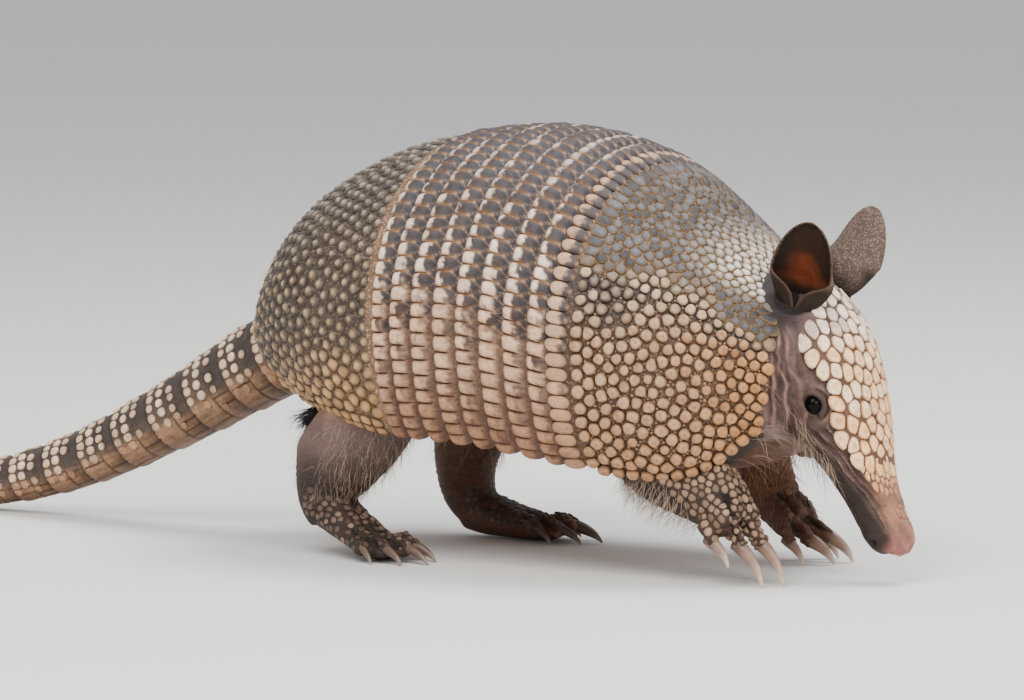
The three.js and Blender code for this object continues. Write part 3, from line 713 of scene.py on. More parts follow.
# Movable bands: a row of rounded tiles each, whose raised rear edges overhang the band behind.
band = {
    "tile": 6.2,  # width of one tile round the body
    "overhang": 0.036,  # in stations
    "front": -2.3,
    "crown": 1.15,
    "rearDrop": 1.15,
    "tileColumns": (-1, -0.94, -0.82, -0.6, -0.3, 0.0, 0.3, 0.6, 0.82, 0.94),
    **toned(
        low=(152, 112, 84), middle=(208, 172, 144), high=(230, 208, 192), top=(188, 171, 158),
        slate=(37, 36, 44), slateLow=(72, 50, 42), seamLow=(78, 50, 36), seamHigh=(146, 114, 84),
        line=(190, 152, 118), tucked=(92, 66, 55),
    ),
}


def tileEdges(row, width, spread=0.13):
    # shares where tiles of nearly even width begin, from rim to rim
    fine = np.linspace(-1, 1, 900)
    line = shellPoint(np.full_like(fine, row), fine)
    run = runAlong(line)
    count = int(round(run[-1] / width))
    widths = 1 + spread * rng.uniform(-1, 1, count)
    edges = np.concatenate([[0], np.cumsum(widths)]) / widths.sum()
    return np.interp(edges * run[-1], run, fine)


def buildBand(index):
    width = (shell["bandEnd"] - shell["bandStart"]) / shell["bandCount"]
    rear = shell["bandStart"] + width * index
    front = rear + width
    edges = tileEdges((rear + front) / 2, band["tile"])
    count = len(edges) - 1
    inTile = np.array(band["tileColumns"])
    share = (edges[:-1, None] + np.diff(edges)[:, None] * (inTile + 1) / 2).ravel()
    share = np.concatenate([share, edges[-1:]])
    across = np.concatenate([np.tile(inTile, count), [1.0]])
    tile = np.minimum(np.arange(len(share)) // len(inTile), count - 1)
    lone = rng.uniform(0, 1, (4, count))[:, tile]
    v, share = gridOf(np.concatenate([np.linspace(0, 0.86, 18), [0.9, 0.93, 0.96, 0.98, 1.0]]), share)
    a = np.abs(across)
    last = np.clip((np.abs(share) - edges[-2]) / (1 - edges[-2]), 0, 1)
    start = front - 0.05 * width / 0.25 * last**2
    end = rear - band["overhang"] * (1 - 0.75 * a**7) * (1 - 0.6 * last**2)
    end = end + 0.02 * last**3 + 0.012 * (lone[0] - 0.5)
    point, outwards, _ = shellFrame(start + (end - start) * v, share)
    height = shellHeight(start + (end - start) * v, share)
    rise = ease(0.3, 0.6, v)
    lift = band["front"] * (1 - ease(0, 0.5, v))
    lift += band["crown"] * (1 - a**3) * rise - 0.4 * bell(a, 1, 0.1) * (0.3 + 0.7 * rise)
    lift += 0.3 * bell(v, 0.72, 0.16) - band["rearDrop"] * ease(0.86, 1.02, v) ** 1.5
    lift += 0.2 * (lone[1] - 0.5) * rise + 0.14 * across * (lone[2] - 0.5) * rise
    lift += 0.12 * cloud(point, 2.2, 21) * rise - 0.25 * last**3
    depth = np.minimum(-4.1 + 2.5 * ease(0.72, 0.9, v), lift - 0.7)

    # darker and browner below, paler above, slate along the spine
    up = height + 0.07 * (lone[3] - 0.5)
    blur = cloud(point, 3.0, 31) * 0.6 + cloud(point, 1.2, 32) * 0.4
    streak = stripes(share * 420, v * 1.6 + index * 9, 0, 33)
    rubbed = stripes(share * 160, v * 5 + index * 9, 0, 34)
    tone = mix(band["low"], band["middle"], ease(0.02, 0.38, height))
    tone = mix(tone, band["high"], ease(0.4, 0.62, height))
    tone = shaded(mix(tone, band["top"], ease(0.72, 0.95, height)), 0.88 + 0.2 * lone[3])
    # the band's front, tucked under the overhang of the band ahead, takes a pinkish-brown strip colour
    # darkened as painted shadow of that overhang
    tucked = shaded(band["tucked"], 0.9 + 0.3 * ease(0.3, 0.1, v))
    tone = mix(tone, tucked, ease(0.5, 0.3, v + 0.05 * streak) * 0.9)
    # a slate patch in front of each raised half, strongest over the upper back
    reach = 0.58 + 0.24 * (lone[1] - 0.5) + 0.08 * a**2 + 0.2 * ease(0.5, 0.8, up) + 0.2 * blur
    patch = ease(reach + 0.04, reach - 0.05, v + 0.03 * streak) * ease(0.12, 0.26, v)
    patch = patch * ease(0.34, 0.5, up + 0.14 * blur + 0.22 * (lone[2] - 0.5))
    slate = shaded(band["slate"], 1 + 0.4 * ease(0.75, 1.0, height) + 0.3 * blur)
    tone = mix(tone, slate, patch * 0.97)
    smear = ease(reach + 0.06, reach - 0.12, v + 0.08 * streak) * ease(0.3, 0.42, v) * ease(0.62, 0.3, up)
    tone = mix(tone, band["slateLow"], 0.75 * smear * ease(0.2, 0.75, lone[2] + 0.4 * blur))
    tone = mix(tone, band["seamLow"], 0.34 * ease(0.1, 0.8, rubbed + 0.5 * blur) * ease(0.4, 0.6, v))
    tone = shaded(tone, 1 + 0.14 * streak * ease(0.9, 0.3, v) + 0.07 * blur)
    seam = mix(band["seamLow"], band["seamHigh"], ease(0.3, 0.6, height))
    tone = mix(tone, seam, (bell(a, 1, 0.13) + 0.35 * bell(a, 1, 0.35)) * ease(0.3, 0.5, v) * 0.92)
    # pale lines run from the seams and close in front of each patch
    line = bell(a, 1 - 0.75 * ease(0.5, 0.16, v), 0.08) * ease(0.62, 0.5, v) * ease(0.2, 0.5, height)
    tone = mix(tone, band["line"], 0.75 * line * (0.5 + 0.5 * lone[0]))
    # a painted highlight along each tile's raised crown, and painted shade on the rear edge where it drops
    # away
    tone = shaded(tone, 1 + 0.2 * bell(v, 0.76, 0.12) * (1 - a**4) - 0.55 * ease(0.88, 1.0, v))
    outer, inner = point + outwards * lift[..., None], point + outwards * depth[..., None]
    # the inner face takes the tone halved, as painted shade under the band
    plate = closedPlate(outer, inner, tone, tone * 0.5)
    grains = np.tile(0.35 * ease(0.5, 0.35, v).ravel(), 2)
    setPiece(f"band{index + 1}", [plate], grains, plateHorn, "armour", f"band_{index + 1}")


for index in range(shell["bandCount"]):
    buildBand(index)
print("bands:", shell["bandCount"])

# Shoulder shield: a column of tiles like a band's, round pebbles below and flat grey scales above.
shoulder = {
    "rows": (6.0, 8.99),
    "scaleRows": (6.25, 8.93),
    "base": (-1.2, -4.1),
    "pitch": 5.75,
    "pitchHigh": 4.4,
    "pitchFront": 4.9,
    "rimPitch": 6.0,
    "groove": 0.4,
    # station, height where the flat scales begin
    "line": ((6.0, 0.68), (6.4, 0.7), (7.0, 0.78), (7.7, 0.81), (8.4, 0.72), (9.0, 0.64)),
    **toned(
        ground=(98, 76, 60), groundDark=(66, 60, 58), groundHigh=(138, 114, 84), pebble=(180, 148, 120),
        pebblePale=(206, 182, 152), pebbleFront=(178, 132, 88), flat=(104, 105, 112),
        flatDark=(58, 58, 64), flatFront=(244, 234, 226), tile=(192, 152, 122), filler=(140, 116, 94),
    ),
}


def highOn(spots, row, share, early=0.0):
    # 0 on the pebbled flank, 1 on the flat scales over the shoulders
    line = np.interp(row, *np.array(shoulder["line"]).T) - early
    height = shellHeight(row, share) + 0.05 * cloud(spots, 12, 9)
    return ease(line - 0.05 - early * 0.6, line + 0.05 + early * 0.4, height)


def shoulderPitch(spots, row, share):
    pitch = mixed(shoulder["pitch"], shoulder["pitchFront"], ease(8.2, 8.8, row))
    pitch = mixed(pitch, shoulder["pitchHigh"], highOn(spots, row, share, 0.03))
    return pitch * (1 + 0.1 * cloud(spots, 11, 14)) * rng.uniform(0.84, 1.12, len(spots))


def fillerScales(seeds, rows, shareEdge, reach, tone, spread):
    # tiny granules in the gaps between the large scales
    tries = 16000
    row, share = rng.uniform(*rows, tries), rng.uniform(-shareEdge, shareEdge, tries)
    spots = shellPoint(row, share)
    kept = packed(spots, np.full(len(spots), spread))
    row, share, spots = row[kept], share[kept], spots[kept]
    tree = treeOf(seeds)
    clear = np.array([tree.find(spot)[2] for spot in spots]) > reach
    spots, outwards, ahead = shellFrame(row[clear], share[clear])
    lone = rng.uniform(0, 1, len(spots))
    look = {"sides": 6, "groove": 0.15, "cap": 0.45 + 0.3 * lone, "corners": 6, "neighbours": 6}
    colours = shaded(tone, 0.6 + 0.7 * lone)
    rings = [(1.0, -1.5), (0.9, -0.75), (0.0, -0.45 - 0.1 * lone)]
    # the rings are darkened towards the sunk edge as painted shade, and the crown lightened as a painted
    # highlight
    return scaleDomes(spots, outwards, ahead, look, rings, [colours * 0.5, colours, colours * 1.1])


def frontTiles():
    # the column of tiles along the shield's rear edge, with slate patches towards their fronts
    edges = tileEdges(6.12, 5.9)
    share = (edges[:-1] + edges[1:]) / 2
    row = np.full_like(share, 6.02)
    seeds, outwards, ahead = shellFrame(row, share)
    lone = rng.uniform(0, 1, len(seeds))
    height = shellHeight(row, share)
    look = {
        "sides": 20, "groove": 0.04, "cap": 3.35, "stretch": 1.5, "tilt": 0.1, "corners": 14,
        "neighbours": 2,
    }
    tone = shaded(mix(shoulder["tile"], band["middle"] * 0.85, ease(0.3, 0.5, height)), 0.78 + 0.3 * lone)
    tone = mix(tone, band["low"], 0.7 * ease(0.3, 0.05, height))
    rings = [(1.0, -2.4), (1.0, -0.9), (0.96, -0.3), (0.86, 0.14), (0.5, 0.42), (0.0, 0.46)]
    border = mix(tone * 0.4, band["seamHigh"], ease(0.45, 0.7, height))
    # the rings darken towards the sunk edge as painted shade, with a slight painted highlight on the upper
    # slope
    tones = [border * 0.5, border * 0.7, border, tone * 0.92, tone * 1.06, tone]
    points, faces, tones = scaleDomes(seeds, outwards, ahead, look, rings, tones)
    lead = np.einsum("nkj,nj->nk", points.reshape(len(seeds), -1, 3) - seeds[:, None], ahead)
    ragged = cloud(points, 2.0, 15).reshape(lead.shape)
    start = (1.6 - 2.6 * ease(0.5, 0.85, height) - 2.4 * (lone - 0.5))[:, None] + 1.3 * ragged
    amount = ease(start - 0.5, start + 0.5, lead) * ease(4.6, 4.0, np.abs(lead))
    amount = amount * ease(0.22, 0.42, height + 0.2 * (lone - 0.5))[:, None]
    return seeds, (points, faces, mix(tones, band["slate"] * 1.2, 0.93 * amount.ravel()))


def buildShoulderShield():
    row, share = gridOf(np.linspace(*shoulder["rows"], 56), np.linspace(-1, 1, 150))
    edge = np.maximum(ease(0.995, 1.0, np.abs(share)), ease(8.93, 8.99, row))
    outer, inner = plateGrid(row, share, shoulder["base"][0] - 0.6 * edge, shoulder["base"][1])
    high = highOn(outer, row, share)
    ground = mix(shoulder["ground"], shoulder["groundDark"], highOn(outer, row, share, 0.12))
    ground = shaded(mix(ground, shoulder["groundHigh"], high), 1 + 0.3 * cloud(outer, 3, 5))
    tiles, tilePart = frontTiles()
    # the inner face takes the ground tone darkened, as painted shade under the plate
    parts = [closedPlate(outer, inner, ground, ground * 0.6), tilePart]
    grains = [np.tile(0.9 - 0.6 * high.ravel(), 2), np.zeros(len(tilePart[0]))]

    row, share, rim = shieldSeeds(
        shoulder["rimPitch"], shoulder["scaleRows"], 0.948, shoulderPitch, rimShares=(0.985,),
    )
    seeds, outwards, ahead = shellFrame(row, share)
    height = shellHeight(row, share)
    high = highOn(seeds, row, share)
    lone = rng.uniform(0, 1, (4, len(seeds)))
    small = ease(0.86, 0.98, lone[3]) * (1 - high)
    small[:rim] = 0
    near = highOn(seeds, row, share, 0.1)
    between = near * (1 - high)
    crowd = np.maximum(ease(0.42, 0.15, height), ease(8.0, 8.6, row)) * (1 - near)
    look = {
        "sides": 12, "groove": mixed(shoulder["groove"] - 0.26 * crowd, 0.26, high),
        "cap": 2.95 + 0.55 * lone[0] + 1.5 * high - 1.0 * small - 0.45 * between,
        "stretch": 1 + 0.2 * (lone[1] - 0.5) + 0.18 * high * ease(0.75, 0.95, height),
        "tilt": 0.03, "corners": 7,
    }
    look["stretch"][:rim] = 1.12
    forward = np.maximum(ease(7.0, 8.7, row), ease(0.34, 0.0, height) * 0.6)
    pebble = mix(shoulder["pebble"], shoulder["pebblePale"], near)
    pebble = mix(pebble, shoulder["pebbleFront"], forward * (1 - 0.6 * near))
    pebble = shaded(pebble, 0.82 + 0.28 * lone[0])
    # painted light from the sky whitens the flat scales above the neck, with a dark belt below that
    flat = mix(shoulder["flat"], shoulder["flatDark"], ease(0.3, 0.9, lone[2]))
    whitened = ease(6.9, 8.2, row) * ease(0.84, 0.94, height) * (0.7 + 0.3 * lone[0])
    belt = 0.75 * ease(7.4, 8.3, row) * ease(0.93, 0.82, height) * (0.5 + 0.5 * lone[2])
    flat = mix(mix(flat, shoulder["flatFront"], whitened), shoulder["flatDark"], belt)
    dusky = between * ease(0.35, 0.8, lone[2]) * 0.7
    rust = mix(pebble * np.array((0.95, 0.82, 0.68)), pebble, 1 - forward * 0.45 - 0.35 * lone[3])
    soot = between * ease(7.4, 6.5, row) * ease(0.25, 0.6, lone[2])
    pebble = mix(pebble, shoulder["groundDark"] * 1.2, 0.8 * soot)
    rust = mix(rust, shoulder["groundDark"] * 1.5, 0.75 * soot)
    crown = mix(rust, flat, high)
    ring = mix(mix(pebble * 1.05, shoulder["groundDark"] * 1.4, dusky), flat * 0.7, high)
    brim = mix(pebble * np.array((0.3, 0.26, 0.22)), shoulder["groundDark"], between)
    brim = mix(brim, shoulder["groundHigh"], high)
    top = 0.95 + 0.35 * lone[1] - 1.25 * high - 0.5 * small
    dimple = ease(0.5, 0.8, lone[1]) * (1 - high)  # a brown pock on the crown of some
    rings = [
        (1.0, -1.8), (1.0, -0.95 - 0.05 * high), (0.96, -0.5 - 0.3 * high),
        (0.86, top - 0.72 + 0.56 * high), (0.6, top - 0.24 + 0.18 * high), (0.3, top - 0.04),
        (0.0, top - 0.18 * dimple),
    ]
    heart = crown * (0.95 - 0.34 * dimple[:, None] * np.array((0.8, 1.0, 1.2)))
    # the outer rings darken towards the sunk edge as painted shade in the grooves
    tones = [brim * 0.4, brim * 0.6, brim, mix(brim, ring, 0.62 + 0.1 * high), ring, crown, heart]
    parts.append(lumpy(scaleDomes(seeds, outwards, ahead, look, rings, tones), outwards, 0.17, 0.26, 171))
    per = np.concatenate([np.repeat((0.8, 0.5, 0.2, 0.1, 0.05, 0.05), look["sides"]), [0.05]])
    grains.append(np.tile(per, len(seeds)) * (0.5 + 0.5 * np.repeat(high, len(per))))
    every = np.concatenate([seeds, tiles])
    parts.append(fillerScales(every, (6.26, 8.93), 0.95, 2.6, shoulder["filler"], 1.3))
    grains.append(np.zeros(len(parts[-1][0])))
    setPiece("shoulderShield", parts, np.concatenate(grains), plateHorn, "armour", "shoulder_shield")
    print("shoulder shield:", len(every), "scales")


buildShoulderShield()

# Head shield: large rounded plates, whiter and greyer at the ears and warmer towards the snout.
headPlates = {
    "pitch": 4.75,
    "stretch": 1.45,
    "groove": 0.02,
    **toned(
        ground=(102, 74, 58), groundHigh=(70, 62, 58), rust=(208, 142, 92), plate=(255, 226, 192),
        plateHigh=(250, 234, 220), plateLow=(255, 212, 166), slate=(120, 112, 110), snout=(168, 122, 98),
    ),
    "nape": ((-4, 26), (5, 30), (11, 40), (17, 66), (90, 90)),  # at, arc left clear below the ears
}


def shieldArc(at):
    i = np.clip(np.searchsorted(headShieldEdge[:, 0], at, side="right") - 1, 0, len(headShieldEdge) - 2)
    low, high = headShieldEdge[i, 0], headShieldEdge[i + 1, 0]
    place = i + np.clip((at - low) / (high - low), 0, 1)
    return np.radians(smoothAlong(headShieldEdge, place)[..., 1])


def largePlates():
    # rows of plates from the middle of the forehead outwards, long in the head's direction
    at, across = gridOf(np.linspace(-2.2, 75.5, 200), np.linspace(-0.945, 0.945, 150))
    at = at.ravel() + rng.uniform(-0.2, 0.2, at.size)
    turn = across.ravel() * shieldArc(at)
    order = np.argsort(np.round(at / 2.0) * 1000 - np.abs(across.ravel()), kind="stable")
    at, turn = at[order], turn[order]
    seeds, outwards, ahead = headFrame(at, turn)
    squeezed = seeds - (1 - 1 / headPlates["stretch"]) * (seeds @ headAxis)[:, None] * headAxis
    pitch = (headPlates["pitch"] - 0.9 * ease(45, 76, at)) * (1 + 0.16 * cloud(seeds, 9, 12))
    kept = packed(squeezed, pitch * rng.uniform(0.9, 1.1, len(seeds)))
    kept = kept[np.abs(turn[kept]) < np.radians(np.interp(at[kept], *np.array(headPlates["nape"]).T))]
    at, seeds, outwards, ahead = (x[kept] for x in (at, seeds, outwards, ahead))
    lone = rng.uniform(0, 1, (3, len(seeds)))
    look = {"sides": 16, "cap": 3.62, "corners": 6}
    look |= {key: headPlates[key] for key in ("groove", "stretch")}
    plate = mix(headPlates["plateHigh"], headPlates["plate"], ease(10, 35, at))
    plate = shaded(mix(plate, headPlates["plateLow"], ease(45, 75, at)), 0.88 + 0.2 * lone[0] ** 0.7)
    plate = mix(plate, plate * np.array((1.0, 0.84, 0.66)), ease(0.1, 0.8, lone[1]) * ease(12, 30, at))
    plate = mix(plate, headPlates["slate"], ease(26, 6, at) * ease(0.45, 0.8, lone[1]) * 0.85)
    brim = mix(plate, headPlates["ground"], 0.6)
    rusty = mix(plate, headPlates["rust"], 0.34 + 0.46 * lone[1] * ease(15, 40, at))
    heart = mix(plate, headPlates["rust"], 0.6 * ease(0.3, 0.85, lone[2]) * ease(15, 35, at))
    top = mixed(1.95, 1.0, ease(56, 76, at)) + 0.3 * lone[2]
    rings = [
        (1.0, 0.2), (1.0, top - 0.8), (0.98, top - 0.42), (0.91, top - 0.12), (0.68, top),
        (0.36, top + 0.03), (0.0, top),
    ]
    # the rings darken towards the sunk edge as painted shade, with a slight painted highlight on the upper
    # slope
    tones = [brim * 0.5, brim * 0.75, brim * 0.9, rusty * 0.96, plate * 1.05, mix(plate, heart, 0.7), heart]
    return lumpy(scaleDomes(seeds, outwards, ahead, look, rings, tones), outwards, 0.16, 0.22, 181)


def snoutScales():
    # long thin scales run on from the shield down the snout
    at, turn = gridOf(np.linspace(72, 95, 90), np.linspace(-1, 1, 90))
    at, turn = at.ravel() + rng.uniform(-0.3, 0.3, at.size), turn.ravel()
    beyond = np.abs(turn) > shieldArc(np.minimum(at, 77)) * (at < 77)
    inside = beyond & (np.abs(turn) < mixed(1.0, 0.3, ease(74, 95, at)))
    at, turn = at[inside], turn[inside]
    seeds, outwards, ahead = headFrame(at, turn)
    squeezed = seeds - 0.62 * (seeds @ headAxis)[:, None] * headAxis
    kept = packed(squeezed, rng.uniform(1.5, 2.1, len(seeds)) - 0.3 * ease(80, 95, at))
    seeds, outwards, ahead, at = seeds[kept], outwards[kept], ahead[kept], at[kept]
    lone = rng.uniform(0, 1, len(seeds))
    look = {"sides": 10, "groove": 0.25, "cap": 1.5, "stretch": 2.1, "corners": 7}
    plate = mix(headPlates["plateLow"], headPlates["rust"], ease(72, 82, at) * 0.5 + 0.3 * lone)
    plate = mix(plate, shaded(headPlates["snout"], 0.8 + 0.4 * lone), ease(74, 88, at))
    top = mixed(0.95, 0.3, ease(74, 92, at))
    rings = [(1.0, -0.6), (1.0, top * 0.3), (0.8, top * 0.85), (0.0, top)]
    print("snout:", len(seeds), "scales")
    # the rings darken towards the sunk edge as painted shade
    return scaleDomes(seeds, outwards, ahead, look, rings, [plate * 0.5, plate * 0.65, plate * 0.95, plate])


def buildHeadShield():
    at, across = gridOf(np.linspace(-4, 77, 60), np.linspace(-1, 1, 61))
    turn = across * shieldArc(at)
    edge = np.maximum(ease(0.93, 1.0, np.abs(across)), np.maximum(ease(1, -4, at), ease(74, 77, at)))
    outer = headPoint(at, turn, 1.15 - 0.9 * edge)
    inner = headPoint(at, turn, -1.0)
    ground = mix(headPlates["ground"], headPlates["groundHigh"], ease(26, 4, at))
    ground = shaded(ground, 1 + 0.25 * cloud(outer, 3, 5))
    # the inner face takes the ground tone darkened, as painted shade under the shield
    parts = [closedPlate(outer, inner, ground, ground * 0.6), largePlates(), snoutScales()]
    setPiece("headShield", parts, 0.0, plateHorn, "armour", "head_shield")
    print("head shield set")


buildHeadShield()

# Tail: overlapping rings, each closed towards the tip by two rows of raised scales, then a keeled tip.
tail = {
    "rings": 12,
    "ringShare": 0.62,
    "facets": 110,
    "overhang": 0.03,
    # place along a ring, lift
    "profile": (
        (0.0, -2.9), (0.05, -2.0), (0.16, -1.2), (0.45, -0.85), (0.75, -0.7), (0.9, -0.3), (0.97, -0.35),
        (0.99, -0.7), (1.0, -1.6),
    ),
    "lengths": 26,
    **toned(
        ground=(82, 69, 61), groundLow=(108, 80, 58), square=(224, 196, 166), round=(238, 216, 190),
        under=(160, 124, 94), patch=(62, 54, 52), line=(56, 38, 30),
    ),
}


def tailFrames(rows):
    middle, heading, sideways, upright = tubeFrames(tailPath, rows)
    return middle, heading, sideways, -upright


def tailSpot(rows, angle, lift=0.0):
    # angle runs round from the left side over the top
    middle, heading, sideways, upright = tailFrames(rows)
    outwards = sideways * np.cos(angle)[..., None] + upright * np.sin(angle)[..., None]
    return middle[..., :3] + outwards * (middle[..., 3] + lift)[..., None], outwards, heading


# place along the ring, spacing, offset; cap, groove, stretch and corners; tones, heights, share kept
tailRows = (
    (0.85, 1.0, 0.0, (2.35, 0.1, 0.95, 12), (tail["square"], tail["under"] * 1.1), (0.8, 0.6), 1.0),
    (0.6, 1.06, 0.5, (2.4, 0.1, 0.95, 8), (tail["round"], tail["under"] * 1.2), (1.05, 0.65), 0.97),
    (0.34, 1.03, 0.1, (2.2, 0.15, 0.9, 6), (tail["square"] * 0.85, tail["under"]), (0.8, 0.5), 0.72),
)


def tailRow(first, last, width, v, spacing, offset, shape, tones, heights, kept):
    # one row of scales over the top and sides of a ring
    row = first + (last - first) * v
    radius = float(tailFrames(np.array(row))[0][3])
    count = int(round(2 * math.pi * radius / (width * spacing)))
    angle = (np.arange(count) + offset + rng.uniform(-0.14, 0.14, count)) / count * 2 * math.pi
    shown = (np.sin(angle) > -0.6 + 0.2 * rng.uniform(-1, 1, count)) & (rng.uniform(0, 1, count) < kept)
    angle = angle[shown]
    count = len(angle)
    place = np.full(count, row) + (last - first) * rng.uniform(-0.02, 0.02, count)
    seeds, outwards, heading = tailSpot(place, angle)
    lone = rng.uniform(0, 1, (2, count))
    side = ease(0.0, -0.5, np.sin(angle))
    tone = shaded(mix(tones[0], tones[1], side), 0.78 + 0.32 * lone[0])
    look = dict(zip(("cap", "groove", "stretch", "corners"), shape), sides=12, neighbours=2)
    look["cap"] = look["cap"] * (0.9 + 0.2 * lone[1])
    raised = mixed(heights[0], heights[1], side) * (0.75 + 0.5 * lone[0])
    rings = [
        (1.0, -1.9), (1.0, -0.85), (0.92, -0.8 + 0.5 * raised), (0.72, -0.8 + 0.92 * raised),
        (0.0, -0.8 + raised),
    ]
    dark = mix(tail["ground"], tail["groundLow"] * 0.7, side)
    # the rings darken towards the sunk edge as painted shade, and the crown is lightened a little as a
    # painted highlight
    tones = [dark * 0.5, dark * 0.7, mix(dark, tone, 0.45), tone, tone * 1.05]
    return scaleDomes(seeds, outwards, heading, look, rings, tones)


def buildTailRing(index):
    step = (len(tailPath) - 1) * tail["ringShare"] / tail["rings"]
    first, last = index * step, (index + 1) * step
    v = np.concatenate([np.linspace(0, 0.9, tail["lengths"]), [0.94, 0.97, 0.985, 0.995, 1.0]])
    rows = first - 0.012 + (last + tail["overhang"] - first) * v
    row, angle = gridOf(rows, turnsOf(tail["facets"]))
    radius = tailFrames(np.array(first))[0][3]
    girth = 0.5 + 0.5 * (radius / 20)
    top = np.sin(angle)
    share = np.broadcast_to(v[:, None], row.shape)
    around = angle * radius
    low = ease(-0.12, -0.45, top + 0.06 * stripes(around, row * 40, 0, 18, 6))
    # long panels below, parted by narrow lines and striped lengthwise
    panel = np.abs((around / (5.2 * girth) + 0.3 * np.floor(share * 2.1)) % 1 - 0.5) * 2
    parting = np.maximum(ease(0.86, 0.97, panel), bell(share, 0.47, 0.022)) * low
    streak = stripes(around * 1.5, row * 5, 0, 23)
    lift = np.interp(share, *np.array(tail["profile"]).T) * (0.55 + 0.45 * (radius / 20))
    lift = lift + 0.12 * stripes(row * 60, np.cos(angle) * 9, np.sin(angle) * 9, 8, 2.5)
    rings, _, _ = tailSpot(row, angle, lift - 0.55 * parting + 0.1 * streak * low)
    tone = mix(tail["ground"], tail["groundLow"], np.maximum(low, 0.35 * ease(0.5, -0.2, top)))
    tone = mix(tone, tail["under"] * 1.1, low * ease(0.1, 0.5, share) * 0.7)
    ragged = 0.22 * cloud(rings, 5, 19) + 0.16 * cloud(rings, 1.8, 20)
    patch = ease(0.86, 0.5, share + 1.6 * ragged) * ease(-0.45, 0.1, top + 1.4 * ragged)
    tone = mix(tone, tail["patch"], patch * 0.92)
    tone = shaded(tone, 1 + 0.28 * streak * (0.3 + 0.7 * low) + 0.15 * cloud(rings, 2.5, 24))
    # painted shade: the underside of the tail darkened
    tone = shaded(tone, 1 - 0.45 * ease(-0.45, -1.0, top))
    tone = mix(tone, tail["line"], 0.95 * parting)
    # painted shade at the front of the ring, where it tucks under the ring nearer the body
    tone = mix(tone, tail["line"] * 0.35, ease(0.13, 0.05, share))
    # painted shade on the rear rim where it turns under
    parts = [closedTube(rings, shaded(tone, 1 - 0.65 * ease(0.95, 1.0, share)))]
    parts += [tailRow(first, last + tail["overhang"], 4.9 * girth, *row) for row in tailRows]
    setPiece(f"tailRing{index + 1}", parts, 0.25, plateHorn, "armour", f"tail_ring_{index + 1}")


def buildTailTip():
    last = len(tailPath) - 1
    first = last * tail["ringShare"]
    station = 48  # millimetres between places of the path
    rows = np.concatenate([np.linspace(first - 0.012, last - 0.05, 60), [last - 0.02, last]])
    shrink = np.concatenate([np.ones(60), [0.75, 0.35]])
    row, angle = gridOf(rows, turnsOf(24))
    radius = tailFrames(row)[0][..., 3]
    rings, _, _ = tailSpot(row, angle, -0.55 - radius * (1 - shrink[:, None]))
    ground = mix(tail["ground"], tail["groundLow"] * 0.8, ease(0.3, -0.5, np.sin(angle)))
    parts = [closedTube(rings, ground)]
    place, angles = [], []
    row, odd = first + 0.05, 0
    while row < last - 0.06:
        radius = float(tailFrames(np.array(row))[0][3])
        count = max(int(round(2 * math.pi * radius / (4.4 * (0.45 + 0.55 * radius / 9)))), 6)
        place += [row] * count
        angles += list((np.arange(count) + odd / 2) / count * 2 * math.pi)
        row += (3.9 + 1.2 * radius / 9) / station
        odd = 1 - odd
    place, angles = np.array(place), np.array(angles)
    seeds, outwards, heading = tailSpot(place, angles)
    radius = tailFrames(place)[0][..., 3]
    lone = rng.uniform(0, 1, len(seeds))
    cap = 1.2 + 1.5 * radius / 9
    look = {"sides": 8, "groove": 0.45, "cap": cap, "stretch": 1.3, "tilt": -0.1, "corners": 6}
    tone = mix(tail["square"] * 0.92, tail["under"] * 0.9, ease(0.2, -0.6, np.sin(angles)))
    tone = shaded(tone, 0.8 + 0.3 * lone)
    tall = 0.35 + 0.35 * radius / 9
    rings = [(1.0, -1.2), (0.97, -0.5), (0.72, -0.5 + 0.7 * tall), (0.0, -0.5 + tall)]
    # the rings darken towards the sunk edge as painted shade, and the crown is lightened a little as a
    # painted highlight
    tones = [tone * 0.35, tone * 0.6, tone, tone * 1.05]
    parts.append(scaleDomes(seeds, outwards, heading, look, rings, tones))
    setPiece("tailTip", parts, 0.25, plateHorn, "armour", "tail_tip")


for index in range(tail["rings"]):
    buildTailRing(index)
buildTailTip()
print("tail:", tail["rings"], "rings and a tip")

# Legs and feet, as paths of x, y, z, half width across and half depth along the stride.
legs = (
    # near and far fore legs, then near and far hind legs
    ((92, -42, 66, 17, 25), (107, -43, 50, 16, 22), (120.5, -42, 39.5, 14, 16.5), (130, -41, 33, 13, 13),
     (134.5, -41, 28, 12, 10.5)),
    ((90, 38, 72, 16, 20), (94.5, 40, 55, 14, 15.5), (98, 40, 41, 12.5, 12.5), (103, 40, 29, 12, 11),
     (108.5, 40, 20, 11.5, 10)),
    ((-40, -42, 78, 20, 30), (-48.5, -46, 56, 18, 25.5), (-57, -48, 39, 15, 20.5),
     (-61, -49, 25, 12.5, 14.5), (-57, -50, 15, 11, 11)),
    ((-41, 38, 76, 18, 26), (-49, 40, 52, 15.5, 19.5), (-54, 41, 34, 13.5, 15), (-53, 41, 20, 12, 12.5),
     (-47, 41, 11, 10.5, 10)),
)
